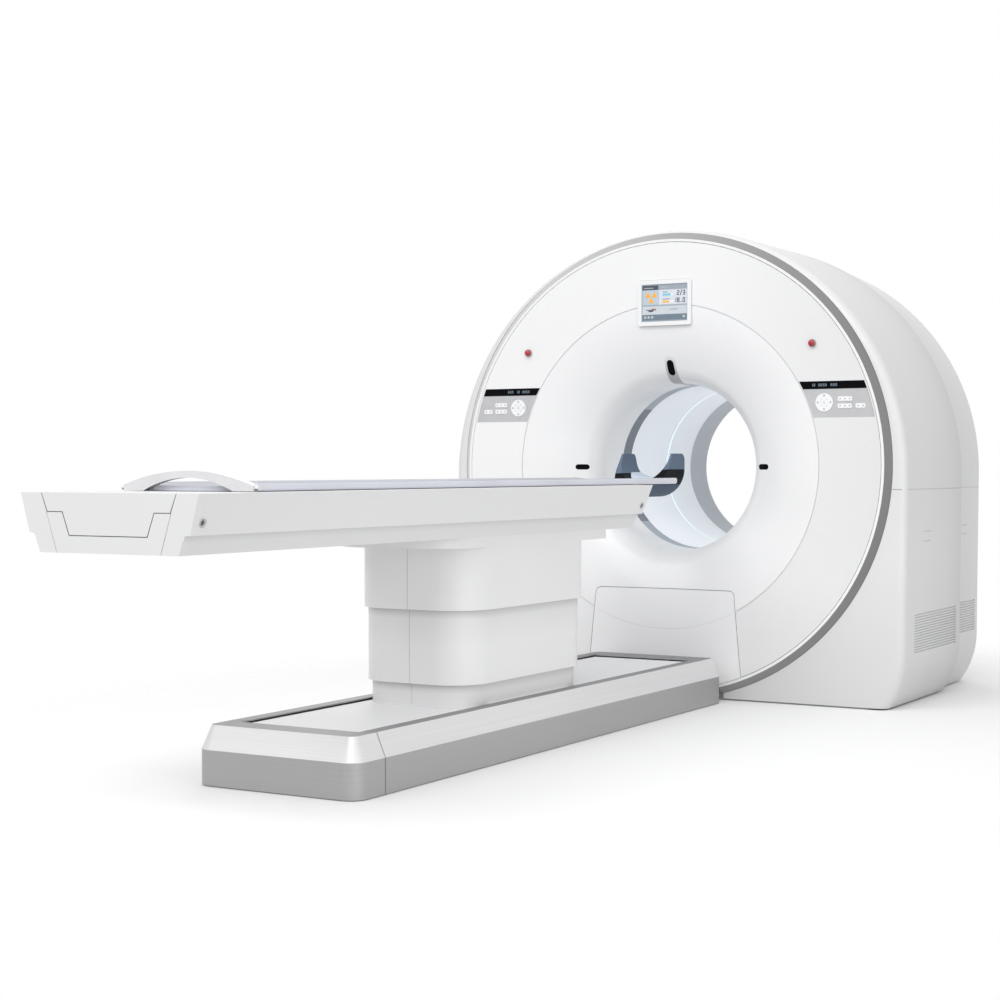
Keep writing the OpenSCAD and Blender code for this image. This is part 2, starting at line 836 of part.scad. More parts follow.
module rear_ring() { color(grey_trim) facing_front() bore_ring(bore_r, liner_r - run_gap, -rear_f, -rear_ring_at); }

module ring_legs(f0, f1) {
    for (s = [0, 1]) mirror([s, 0, 0]) translate([leg_x0, base_h, f0]) cube([leg_x1 - leg_x0, leg_top, f1 - f0]);
}

// Fixed ring that holds the funnel's neck and the big bearing.
module ct_stator() {
    color(steel) facing_front() {
        difference() {
            union() {
                bore_ring(bore_r + cover_t + run_gap, stator_r, stator_f, stator_f + stator_t);
                ring_legs(stator_f, stator_f + stator_t);
            }
            bore_ring(0, bore_r + cover_t + run_gap, 0, far);
        }
        bore_ring(bearing_r0, bearing_r1, stator_f - bearing_l, stator_f);
    }
}

// Turning ring that runs round the bearing and carries the tube, detector and power units.
module ct_rotor() {
    color(silver) facing_front() {
        bore_ring(rotor_r0, rotor_r1, rotor_f, rotor_f + rotor_t);
        bore_ring(bearing_r1 + run_gap, bearing_r1 + 50, rotor_f + rotor_t, stator_f - run_gap);
    }
}

module xray_tube() {
    color(steel) facing_front() translate([0, iso_h + tube_orbit, rotor_f - xray_l]) {
        cylinder(r = xray_r, h = xray_l);
        translate([-xray_r / 2, -xray_r - 50, xray_l / 4]) cube([xray_r, 80, xray_l / 2]);
    }
}

module ct_detector() {
    color(grey_trim) facing_front() translate([0, iso_h, rotor_f - xray_l + 10])
        rotate([0, 0, 270 - detector_span / 2]) rotate_extrude(angle = detector_span)
        translate([detector_r0, 0]) square([detector_r1 - detector_r0, xray_l - 10]);
}

module power_units() {
    color(slate) facing_front() for (s = [-1, 1])
        translate([s * tube_orbit, iso_h, rotor_f - xray_l]) translate([-unit_w / 2, -unit_h / 2, 0]) cube([unit_w, unit_h, xray_l]);
}

// Two upright rings that hold the detector blocks and the tunnel liner.
module pet_frame() {
    color(steel) facing_front() for (f = [pet_f, pet_f - pet_l + pet_t]) difference() {
        union() {
            bore_ring(liner_r + run_gap, pet_r, f - pet_t, f);
            ring_legs(f - pet_t, f);
        }
        bore_ring(0, liner_r + run_gap, -far, far);
    }
}

module pet_detectors() {
    color(grey_trim) facing_front() translate([0, iso_h, 0]) for (i = [0 : crystals - 1])
        rotate([0, 0, i * 360 / crystals])
        translate([crystal_r0, -crystal_w / 2, pet_f - pet_l + pet_t])
        cube([crystal_r1 - crystal_r0, crystal_w, pet_l - 2 * pet_t]);
}

// Emergency stops: dark collars on the cover, red heads that press in.
module stop_collars() {
    color(black) facing_front() for (s = [-1, 1]) translate([s * stop_x, stop_h, face_f]) difference() {
        cylinder(r = stop_r + 3, h = 4);
        translate([0, 0, -cut]) cylinder(r = stop_r / 2 + clear, h = 10);
    }
}

module stop_button(side) {
    head_f = face_f + 4 + stop_travel + run_gap;
    color("#d3202c") facing_front() translate([side * stop_x, stop_h, 0]) {
        translate([0, 0, face_f - 2 * stop_r]) cylinder(r = stop_r / 2, h = head_f - face_f + 2 * stop_r + 1);
        translate([0, 0, head_f]) rotate_extrude() {
            square([stop_r, stop_r / 3]);
            translate([0, stop_r / 3]) intersection() {
                translate([0, -stop_r]) circle(stop_r * sqrt(2));
                square([stop_r, stop_r]);
            }
        }
    }
}

module stop_button_l() { stop_button(-1); }
module stop_button_r() { stop_button(1); }

// Block of the plinth, shrunk by a sheet thickness: upright walls, then sloping walls, round at the corners.
module plinth_block(t) {
    lean = plinth_lean / plinth_slope;
    low = trim_floor - (t > 0 ? cut : 0);
    rise = plinth_wall - t * lean;
    top = plinth_rim - t;
    w = plinth_w - t;
    l = plinth_l / 2 - t;
    r = plinth_corner - t;
    inset = lean * (top - rise);
    rotate([90, 0, 0]) translate([0, 0, r - l]) linear_extrude(2 * (l - r))
        polygon([[w, low], [w, rise], [w - inset, top], [inset - w, top], [-w, rise], [-w, low]]);
    rotate([90, 0, 90]) translate([0, 0, r - w]) linear_extrude(2 * (w - r))
        polygon([[l, low], [l, rise], [l - inset, top], [inset - l, top], [-l, rise], [-l, low]]);
    for (x = [-1, 1], y = [-1, 1]) translate([x * (w - r), y * (l - r), 0]) rotate_extrude()
        polygon([[0, low], [r, low], [r, rise], [r - inset, top], [0, top]]);
}

// Folded sheet round the plinth, open in the middle over the track plate.
module plinth_sheet() {
    foot = plinth_foot - plinth_lean - foot_deck;
    head = plinth_head + plinth_lean + head_deck;
    difference() {
        translate([0, plinth_mid, 0]) difference() {
            plinth_block(0);
            plinth_block(trim_t);
        }
        translate([rim_in - plinth_w, -foot, plate_h]) cube([2 * (plinth_w - rim_in), foot - head, far]);
    }
}

// Part of the sheet between two distances from the middle plane.
module sheet_part(y0, y1) {
    intersection() {
        plinth_sheet();
        translate([-far / 2, -y1, -cut]) cube([far, y1 - y0, far]);
    }
}

module plinth_end_foot() { color(silver) sheet_part(plinth_foot - end_trim_l, far); }
module plinth_end_head() { color(silver) sheet_part(0, plinth_head + plinth_lean + head_deck); }

module plinth_side_trims() {
    color(silver) sheet_part(plinth_head + plinth_lean + head_deck, plinth_foot - end_trim_l);
}

module plinth_rect(inset, r) { rounded_rect(plinth_l - 2 * inset, 2 * (plinth_w - inset), r); }

// A rectangle with round corners, l along Y and w along X.
module rounded_rect(l, w, r) {
    square([w, l - 2 * r], center = true);
    square([w - 2 * r, l], center = true);
    for (x = [-1, 1], y = [-1, 1]) translate([x * (w / 2 - r), y * (l / 2 - r)]) circle(r);
}

// Steel floor frame inside the plinth, with the bearers under the track plate.
module plinth_chassis() {
    inset = trim_t + run_gap;
    r = plinth_corner - inset;
    wall = 40;
    bearer_w = 60;
    color(steel) translate([0, plinth_mid, 0]) {
        difference() {
            linear_extrude(plinth_wall - 3 * trim_t) plinth_rect(inset, r);
            translate([0, 0, trim_t]) linear_extrude(far) plinth_rect(inset + wall, r / 2);
        }
        for (s = [-1, 1]) translate([s * bearer_w - bearer_w / 2, inset - plinth_l / 2 + wall, trim_t])
            cube([bearer_w, plinth_l - 2 * (inset + wall), plate_h - plate_t - trim_t]);
    }
}

// Two rails on the floor frame, under the edges of the track plate.
module floor_rails() {
    color(silver) for (s = [-1, 1])
        translate([s * rail_x - rail_w / 2, end_trim_l / 2 - plinth_foot, trim_t])
        cube([rail_w, plinth_l - end_trim_l, rail_h1 - trim_t]);
}

// White plate that the pedestal travels over, with an open slot at each side for the carriage.
module track_plate() {
    foot = plinth_foot - plinth_lean - foot_deck + 4 * trim_t;
    head = plinth_head + plinth_lean + head_deck + arm_slot;
    color(white) translate([-plate_w, -foot, plate_h - plate_t]) cube([2 * plate_w, foot - head, plate_t]);
}

// One column cover in plan, stepped in by a number of steps and shrunk by a margin.
module column_plan(steps, inset) {
    d = steps * column_step + inset;
    rounded_rect(column_l - 2 * d, 2 * (column_w - d), column_r - d);
}

// A telescoping cover: a tube with a lip at its foot that closes on the next cover, and a fine seam.
module column_cover(steps, h0, h1, lip) {
    translate([0, column_mid, 0]) difference() {
        translate([0, 0, h0]) linear_extrude(h1 - h0) column_plan(steps, 0);
        translate([0, 0, lip ? h0 + lip_h : h0 - cut]) linear_extrude(far) column_plan(steps, column_t);
        if (lip) translate([0, 0, h0 - cut]) linear_extrude(far) column_plan(steps + 1, -clear);
        translate([-1, -column_l / 2 + steps * column_step - cut, h0 - cut])
            cube([2, 1.5 + cut, h1 - h0 + 2 * cut]);
    }
}

module top_cover() { color(white) column_cover(0, top_cover_h, flange_h0, true); }
module middle_cover() { color(white) column_cover(1, mid_cover_h, top_cover_h + cover_lap, true); }

module lower_cover() {
    color(white) column_cover(2, frame_h1, mid_cover_h + cover_lap, false);
}

// Steel carriage: a foot plate over the track plate, held from below by an arm in each slot.
module carriage() {
    color(steel) translate([0, column_mid, 0]) {
        translate([0, 0, frame_h0]) linear_extrude(frame_t) column_plan(2, 0);
        translate([-arm_x - arm_t / 2, -arm_l / 2, frame_h0]) cube([2 * arm_x + arm_t, arm_l, frame_t]);
        for (s = [-1, 1]) translate([s * arm_x - arm_t / 2, -arm_l / 2, rail_h1 + run_gap])
            cube([arm_t, arm_l, frame_h0 + frame_t / 2 - rail_h1 - run_gap]);
    }
}

// Sliding shoes on the rails, bolted to the carriage's arms.
module rail_shoes() {
    w = 2 * (arm_x - arm_t / 2 - rail_x);
    color(black) for (x = [-1, 1], y = [-1, 1])
        translate([x * rail_x - w / 2, column_mid + y * arm_l / 3 - 50, rail_h1 - shoe_h / 3]) difference() {
            cube([w, 100, shoe_h]);
            translate([w / 2 - rail_w / 2 - run_gap, -cut, -cut])
                cube([rail_w + 2 * run_gap, far, shoe_h / 3 + run_gap + cut]);
        }
}

// One stage of the telescopic lift: a pair of tubes.
module lift_stage(r, h0) {
    for (s = [-1, 1]) translate([0, column_mid + s * tube_spread, h0]) difference() {
        cylinder(r = r, h = stage_h);
        translate([0, 0, -cut]) cylinder(r = r - tube_t, h = stage_h + 2 * cut);
    }
}

module lift_tube_outer() { color(steel) lift_stage(tube_r, frame_h1); }
module lift_tube_middle() { color(silver) lift_stage(tube_r - tube_t - tube_gap, frame_h1 + stage_h - stage_lap); }
module lift_tube_inner() { color(silver) lift_stage(tube_r - 2 * (tube_t + tube_gap), beam_h0 - stage_h); }

// Collar between the column and the beam: open inside, so that the lower covers rise into it.
module lift_flange() {
    w = column_w + flange_out;
    color(white) difference() {
        translate([0, flange_l / 2 - flange_foot, flange_h0]) linear_extrude(flange_t) {
            rounded_rect(flange_l, 2 * w, column_r);
            translate([-w, 0]) square([2 * w, flange_l / 2]);
        }
        translate([0, column_mid, flange_h0 - cut]) linear_extrude(far) column_plan(0, column_t);
    }
}

// Cross-section of the beam, and of its hollow when inset.
module beam_section(t) {
    polygon([for (s = [1, -1], p = s > 0 ? beam_corners(t) : reversed(beam_corners(t))) [s * p[0], p[1]]]);
}

function beam_corners(t) = [
    [beam_top_w - 1.4 * t, beam_h1 - t], [ledge_w - 1.1 * t, ledge_h + 1],
    [ledge_w - ledge_in - 1.1 * t, ledge_h - 1 - t / 4], [beam_low_w - 1.2 * t, beam_h0 + t]
];
function reversed(list) = [for (i = [len(list) - 1 : -1 : 0]) list[i]];

// Lays a section drawn in x and height along the couch, from its foot end.
module along_couch(foot, l) { translate([0, l - foot, 0]) rotate([90, 0, 0]) linear_extrude(l) children(); }

// The cut that rakes the beam's head end.
module head_rake() {
    translate([-far / 2, 0, 0]) rotate([90, 0, 90]) linear_extrude(far) polygon([
        [-beam_head, beam_h1], [-beam_head + far, beam_h1], [-beam_head + far, beam_h0 - cut],
        [-beam_head - beam_rake, beam_h0 - cut]
    ]);
}

// Runner slot along the beam's top, and the hollow for the runner's foot.
module runner_slot(grow) {
    translate([-runner_neck - grow, beam_h1 - far / 2]) square([2 * (runner_neck + grow), far]);
}

module couch_beam() {
    color(white) difference() {
        along_couch(beam_foot - cap_l, beam_l) beam_section(0);
        along_couch(beam_foot - cap_l - beam_t, far) beam_section(beam_t);
        translate([-slot_w, cap_l / 2 - pallet_foot, runner_h0]) cube([2 * slot_w, far, far]);
        head_rake();
    }
    color(steel) intersection() {
        for (s = [-1, 1]) translate([s * (slot_w + runner_foot / 2) - rail_t, cap_l - beam_foot, beam_h0 + beam_t])
            cube([2 * rail_t, beam_l - beam_rake, runner_h0 - run_gap - beam_h0 - beam_t]);
        along_couch(beam_foot - cap_l, beam_l) beam_section(beam_t / 2);
    }
}

// Outline of the panel in the foot cap: a wide flap with a tongue.
panel_h = beam_h0 + 107;
panel_tongue_h = beam_h0 + 45;
panel_x = [beam_top_w - 72, beam_top_w - 92, beam_top_w - 145, beam_top_w - 168];
module foot_panel_area(grow) {
    half = [
        [panel_x[0] + grow, beam_h1 + far], [panel_x[0] + grow, beam_h1], [panel_x[1] + grow, panel_h - grow],
        [panel_x[2] + grow, panel_h - grow], [panel_x[3] + grow, panel_tongue_h - grow]
    ];
    polygon(concat(half, [for (i = [4 : -1 : 0]) [-half[i][0], half[i][1]]]));
}

foot_panel_t = 25;
module foot_cap() {
    color(white) difference() {
        along_couch(beam_foot, cap_l) beam_section(0);
        along_couch(beam_foot + cut, foot_panel_t + cut) foot_panel_area(clear);
        for (s = [0, 1]) mirror([s, 0, 0]) along_couch(beam_foot + cut, groove_d + cut)
            polygon([
                [panel_x[1], panel_h], [panel_x[1] + groove_d, panel_h],
                [panel_x[1] - 35 + groove_d, beam_h0 - cut], [panel_x[1] - 35, beam_h0 - cut]
            ]);
    }
}

module foot_panel() {
    color(white) difference() {
        intersection() {
            along_couch(beam_foot, foot_panel_t) beam_section(0);
            along_couch(beam_foot, foot_panel_t) foot_panel_area(0);
        }
        difference() {
            along_couch(beam_foot + cut, groove_d + cut) beam_section(-groove_w);
            along_couch(beam_foot + 2 * cut, far) foot_panel_area(-groove_w / 2);
        }
    }
}

// Patient board: flat below, hollowed along its length above.
module pallet() {
    hollow_r = (pallet_w * pallet_w + pallet_dip * pallet_dip) / (2 * pallet_dip);
    edge = (pallet_h1 - pallet_h0) / 3;
    color(lavender) along_couch(pallet_foot, pallet_foot - pallet_head) difference() {
        translate([0, (pallet_h0 + pallet_h1) / 2]) {
            square([2 * (pallet_w - edge), pallet_h1 - pallet_h0], center = true);
            square([2 * pallet_w, pallet_h1 - pallet_h0 - 2 * edge], center = true);
            for (x = [-1, 1], y = [-1, 1])
                translate([x * (pallet_w - edge), y * ((pallet_h1 - pallet_h0) / 2 - edge)]) circle(edge);
        }
        translate([0, pallet_h1 - pallet_dip + hollow_r]) circle(hollow_r, $fn = 360);
    }
}

// Tee-shaped keel under the pallet that runs in the beam.
module pallet_runner() {
    foot_t = 10;
    color(steel) along_couch(pallet_foot - cap_l, pallet_foot - pallet_head - 10 * cap_l) {
        translate([-runner_neck, runner_h0]) square([2 * runner_neck, pallet_h0 - runner_h0]);
        translate([-slot_w - 0.75 * runner_foot, runner_h0]) square([2 * slot_w + 1.5 * runner_foot, foot_t]);
    }
}

// Arched pull handle on the pallet's foot end.
module pallet_handle() {
    foot = pallet_w;
    inner = foot - handle_foot_w;
    rise_in = handle_rise - handle_bar;
    rise_out = handle_rise - handle_foot_h;
    r_out = (foot * foot + rise_out * rise_out) / (2 * rise_out);
    r_in = (inner * inner + rise_in * rise_in) / (2 * rise_in);
    color(white) {
        along_couch(pallet_foot + handle_t, handle_t) difference() {
            intersection() {
                translate([0, pallet_h0 + handle_rise - r_out]) circle(r_out, $fn = 360);
                translate([-foot, pallet_h0]) square([2 * foot, far]);
            }
            translate([0, pallet_h0 + rise_in - r_in]) circle(r_in, $fn = 360);
        }
        for (s = [-1, 1]) translate([s * (foot - 2), -pallet_foot - handle_t / 2, pallet_h0 + 9])
            rotate([0, s * 90, 0]) cylinder(r = 7, h = 14);
    }
}

// Outline of the head holder across the couch: round below, straight sides above.
module holder_outline() {
    translate([0, holder_z]) circle(holder_r);
    translate([-holder_r, holder_z]) square([2 * holder_r, 2 * ear_up]);
}

// Side view of the head holder: a low seat for the pad, then the ears.
module holder_side() {
    r = 30;
    rotate([90, 0, 90]) translate([0, 0, -far / 2]) linear_extrude(far) {
        polygon([
            [-holder_foot, 0], [-holder_foot, pallet_h0], [-ear_low, pallet_h0], [-ear_foot, ear_h],
            [-holder_head - r, ear_h], [-holder_head, ear_h - r], [-holder_head, 0]
        ]);
        translate([-holder_head - r, ear_h - r]) circle(r);
    }
}

// Cradle for the head: it hangs on a tongue under the pallet's head end, with an ear at each side.
module head_holder() {
    tongue_w = 0.6 * holder_r;
    tongue_t = 22;
    color(slate) {
        difference() {
            intersection() {
                along_couch(holder_foot + 10, holder_foot - holder_head + 20) holder_outline();
                holder_side();
            }
            along_couch(ear_low, 2 * ear_low) translate([0, holder_z + trough_up]) circle(trough_r);
        }
        along_couch(holder_foot + 60, 80)
            translate([-tongue_w, pallet_h0 - tongue_t]) square([2 * tongue_w, tongue_t]);
    }
}

// Hollowed pad that lines the trough, with a sloping end towards the pallet.
module head_pad() {
    pad_r = trough_r - run_gap;
    trough_z = holder_z + trough_up;
    pad_z = trough_z - pad_r + pad_t;
    half_w = sqrt(pad_r * pad_r - (trough_z - pad_z - pad_dip) * (trough_z - pad_z - pad_dip));
    hollow_r = (half_w * half_w + pad_dip * pad_dip) / (2 * pad_dip);
    pad_h1 = pad_z + pad_dip - 4;
    color(lavender) intersection() {
        along_couch(ear_low, ear_low - holder_head - 6) difference() {
            translate([0, trough_z]) circle(pad_r);
            translate([0, pad_z + hollow_r]) circle(hollow_r, $fn = 360);
            translate([-far / 2, pad_h1]) square(far);
        }
        rotate([90, 0, 90]) translate([0, 0, -far / 2]) linear_extrude(far) polygon([
            [30 - ear_low, 0], [30 - ear_low, pallet_h0], [25 - ear_foot, pad_h1],
            [25 - ear_foot, far], [0, far], [0, 0]
        ]);
    }
}

gantry_base();
front_upper_cover_l();
front_upper_cover_r();
front_side_panel_l();
front_side_panel_r();
rear_upper_cover_l();
rear_upper_cover_r();
rear_side_panel_l();
rear_side_panel_r();
rear_cover();
trim_ring();
front_rim();
front_cover();
funnel();
service_cover();
control_pads();
display_strips();
round_pads();
panel_keys();
monitor_bezel();
monitor_screen();
laser_bracket();
laser_windows();
scan_window();
tunnel_liner();
light_ring();
rear_ring();
ct_stator();
ct_rotor();
xray_tube();
ct_detector();
power_units();
pet_frame();
pet_detectors();
stop_collars();
stop_button_l();
stop_button_r();
plinth_chassis();
plinth_end_foot();
plinth_end_head();
plinth_side_trims();
floor_rails();
track_plate();
carriage();
rail_shoes();
lower_cover();
lift_tube_outer();
lift_tube_middle();
middle_cover();
lift_tube_inner();
top_cover();
lift_flange();
couch_beam();
foot_cap();
foot_panel();
pallet();
pallet_runner();
pallet_handle();
head_holder();
head_pad();
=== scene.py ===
import json
import math

import bmesh
import bpy
from mathutils import Matrix, Vector

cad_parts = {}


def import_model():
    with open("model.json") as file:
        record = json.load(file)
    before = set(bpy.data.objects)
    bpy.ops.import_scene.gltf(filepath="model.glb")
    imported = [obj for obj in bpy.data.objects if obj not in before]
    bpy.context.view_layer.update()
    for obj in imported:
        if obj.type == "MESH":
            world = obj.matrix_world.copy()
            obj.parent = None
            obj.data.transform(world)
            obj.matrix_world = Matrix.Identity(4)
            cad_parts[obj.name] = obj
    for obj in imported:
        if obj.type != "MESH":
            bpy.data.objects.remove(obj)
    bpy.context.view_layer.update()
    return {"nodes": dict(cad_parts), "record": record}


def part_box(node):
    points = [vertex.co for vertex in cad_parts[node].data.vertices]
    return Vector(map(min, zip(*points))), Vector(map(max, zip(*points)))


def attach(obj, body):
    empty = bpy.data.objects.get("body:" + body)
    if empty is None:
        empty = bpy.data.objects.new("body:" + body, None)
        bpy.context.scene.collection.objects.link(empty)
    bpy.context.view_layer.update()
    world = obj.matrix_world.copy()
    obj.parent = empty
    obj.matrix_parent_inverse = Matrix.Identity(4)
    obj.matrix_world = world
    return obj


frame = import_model()
NODES = frame["nodes"]


def low_of(node):
    """Lowest corner of a CAD node."""
    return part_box(node)[0]


def high_of(node):
    """Highest corner of a CAD node."""
    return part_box(node)[1]


# Sizes from the frame, in metres: the height of the bore axis, the flat front face, the circle where the
# face turns into the funnel, and the monitor's picture just in front of its glass
ISO = (low_of("scan_window").z + high_of("scan_window").z) / 2
FACE = low_of("front_cover").y
SEAM_R = high_of("funnel").x
GLASS = low_of("monitor_screen").y - 0.0001

# Radius of the funnel's wide outer arc
SWEEP = 0.56409

# Thickness of a printed mark, and the step from a surface to a fine line or from one layer to the next
PRINT = 0.0004
PROUD = 0.0003


# Shader nodes

# Roughness of a clear coat, the touch of blue in a white, and how much finer the grain is than the drift
COAT_ROUGH = 0.12
COOL = 1.005
GRAIN = 60


def principled(name):
    """A new material with its node tree and its shader."""
    mat = bpy.data.materials.new(name)
    mat.use_nodes = True
    tree = mat.node_tree
    return mat, tree, tree.nodes["Principled BSDF"]


def noise_node(tree, scale, detail=2.0, stretch=(1, 1, 1)):
    coord = tree.nodes.new("ShaderNodeTexCoord")
    mapping = tree.nodes.new("ShaderNodeMapping")
    mapping.inputs["Scale"].default_value = stretch
    noise = tree.nodes.new("ShaderNodeTexNoise")
    noise.inputs["Scale"].default_value = scale
    noise.inputs["Detail"].default_value = detail
    tree.links.new(coord.outputs["Object"], mapping.inputs["Vector"])
    tree.links.new(mapping.outputs["Vector"], noise.inputs["Vector"])
    return noise


def split_node(tree):
    """The place on the piece, split into X, Y and Z."""
    coord = tree.nodes.new("ShaderNodeTexCoord")
    split = tree.nodes.new("ShaderNodeSeparateXYZ")
    tree.links.new(coord.outputs["Object"], split.inputs["Vector"])
    return split


def ramp_node(tree, source, low, high, p0=0.3, p1=0.7):
    ramp = tree.nodes.new("ShaderNodeValToRGB")
    ramp.color_ramp.elements[0].position = p0
    ramp.color_ramp.elements[1].position = p1
    ramp.color_ramp.elements[0].color = (*low, 1)
    ramp.color_ramp.elements[1].color = (*high, 1)
    tree.links.new(source, ramp.inputs["Fac"])
    return ramp


def range_node(tree, source, low, high, start=0.0, end=1.0):
    """Carry the stretch from start to end over to low to high."""
    node = tree.nodes.new("ShaderNodeMapRange")
    node.inputs["From Min"].default_value = start
    node.inputs["From Max"].default_value = end
    node.inputs["To Min"].default_value = low
    node.inputs["To Max"].default_value = high
    tree.links.new(source, node.inputs["Value"])
    return node


def multiply_node(tree, colour, shade, share):
    mix = tree.nodes.new("ShaderNodeMixRGB")
    mix.blend_type = "MULTIPLY"
    mix.inputs["Fac"].default_value = share
    tree.links.new(colour, mix.inputs["Color1"])
    tree.links.new(shade, mix.inputs["Color2"])
    return mix


def vary_gloss(tree, bsdf, source, rough, least=0.9, most=1.1):
    gloss = range_node(tree, source, rough * least, rough * most)
    tree.links.new(gloss.outputs["Result"], bsdf.inputs["Roughness"])


def set_coat(bsdf, coat):
    bsdf.inputs["Coat Weight"].default_value = coat
    bsdf.inputs["Coat Roughness"].default_value = COAT_ROUGH


# Kinds of material

def moulded(name, rgb, rough, vary=0.03, scale=3.0, coat=0.0, metal=0.0, bump=0.0, glow=0.0, spec=0.5):
    """A moulded or painted surface: a slow drift of tone and a little change of gloss."""
    mat, tree, bsdf = principled(name)
    noise = noise_node(tree, scale, 3.0)
    low = tuple(c * (1 - vary) for c in rgb)
    high = tuple(min(1.0, c * (1 + vary)) for c in rgb)
    ramp = ramp_node(tree, noise.outputs["Fac"], low, high)
    tree.links.new(ramp.outputs["Color"], bsdf.inputs["Base Color"])
    vary_gloss(tree, bsdf, noise.outputs["Fac"], rough)
    set_coat(bsdf, coat)
    bsdf.inputs["Metallic"].default_value = metal
    bsdf.inputs["Specular IOR Level"].default_value = spec
    if bump:
        grain = noise_node(tree, scale * GRAIN)
        node = tree.nodes.new("ShaderNodeBump")
        node.inputs["Strength"].default_value = bump
        node.inputs["Distance"].default_value = 0.001
        tree.links.new(grain.outputs["Fac"], node.inputs["Height"])
        tree.links.new(node.outputs["Normal"], bsdf.inputs["Normal"])
    if glow:
        tree.links.new(ramp.outputs["Color"], bsdf.inputs["Emission Color"])
        bsdf.inputs["Emission Strength"].default_value = glow
    return mat


def lit(name, rgb, strength):
    """A spot of colour on a screen."""
    return moulded(name, rgb, 0.3, 0.03, 40.0, glow=strength)


def painted_light_bands(name, low, band, high, z0, z1, tilt, rough, spec):
    """Three colours that meet at two heights of the piece, on a slight tilt across it: a painted dark band
    between two lighter tones.
    """
    mat, tree, bsdf = principled(name)
    split = split_node(tree)
    level = tree.nodes.new("ShaderNodeMath")
    level.operation = "MULTIPLY_ADD"
    level.inputs[1].default_value = -tilt
    tree.links.new(split.outputs["X"], level.inputs[0])
    tree.links.new(split.outputs["Z"], level.inputs[2])
    margin = 0.1
    share = margin / (z1 - z0 + 2 * margin)
    node = range_node(tree, level.outputs["Value"], 0.0, 1.0, z0 - margin, z1 + margin)
    ramp = ramp_node(tree, node.outputs["Result"], low, high, 0.0, 1 - share)
    ramp.color_ramp.interpolation = "CONSTANT"
    ramp.color_ramp.elements.new(share).color = (*band, 1)
    tree.links.new(ramp.outputs["Color"], bsdf.inputs["Base Color"])
    vary_gloss(tree, bsdf, noise_node(tree, 8.0).outputs["Fac"], rough)
    bsdf.inputs["Specular IOR Level"].default_value = spec
    return mat


def along(name, stops, rough=0.38, coat=0.15, axis="Y", painted_floor_shade=None):
    """A shell whose tone changes along one axis, through stops of (place, grey), to paint light and shade
    on it.

    With painted_floor_shade, a (height, share), the tone also sinks to that share from the height down to
    the floor: painted shade near the floor.
    """
    mat, tree, bsdf = principled(name)
    split = split_node(tree)
    places = [place for place, grey in stops]
    tones = [(grey, grey, grey * COOL) for place, grey in stops]
    start, end = places[0], places[-1]
    node = range_node(tree, split.outputs[axis], 0.0, 1.0, start, end)
    ramp = ramp_node(tree, node.outputs["Result"], tones[0], tones[-1], 0.0, 1.0)
    for place, tone in zip(places[1:-1], tones[1:-1]):
        ramp.color_ramp.elements.new((place - start) / (end - start)).color = (*tone, 1)
    colour = ramp.outputs["Color"]
    if painted_floor_shade:
        height, share = painted_floor_shade
        fall = range_node(tree, split.outputs["Z"], share, 1.0, 0.0, height)
        colour = multiply_node(tree, colour, fall.outputs["Result"], 1.0).outputs["Color"]
    tree.links.new(colour, bsdf.inputs["Base Color"])
    vary_gloss(tree, bsdf, noise_node(tree, 2.0, 3.0).outputs["Fac"], rough)
    set_coat(bsdf, coat)
    return mat


def brushed(name, rgb, rough, metal):
    """Metal brushed in level lines."""
    mat, tree, bsdf = principled(name)
    lines = noise_node(tree, 6.0, 4.0, (0.15, 0.15, 60))
    drift = noise_node(tree, 0.8)
    low = tuple(c * 0.96 for c in rgb)
    high = tuple(min(1.0, c * 1.04) for c in rgb)
    ramp = ramp_node(tree, lines.outputs["Fac"], low, high)
    shade = ramp_node(tree, drift.outputs["Fac"], (0.85, 0.85, 0.85), (1, 1, 1))
    mix = multiply_node(tree, ramp.outputs["Color"], shade.outputs["Color"], 0.3)
    tree.links.new(mix.outputs["Color"], bsdf.inputs["Base Color"])
    vary_gloss(tree, bsdf, lines.outputs["Fac"], rough, most=1.15)
    bsdf.inputs["Metallic"].default_value = metal
    return mat


# Materials by the record's slots

# The trim ring is painted from light on the left to dark on the right: a painted reflection, as bare metal
# shows in a bright room
TRIM_REFLECTION_TONES = [(-0.95, 0.70), (-0.5, 0.54), (0.0, 0.35), (0.5, 0.24), (0.95, 0.20)]

# Tones of the scan window and the head holder: below their dark band, in it and above it. The band is
# painted: a painted reflection on the scan window, painted shade on the head holder
WINDOW_REFLECTION_TONES = (0.36, 0.41, 0.46), (0.14, 0.17, 0.21), (0.38, 0.43, 0.48)
HOLDER_SHADE_TONES = (0.08, 0.11, 0.16), (0.003, 0.004, 0.006), (0.13, 0.175, 0.24)

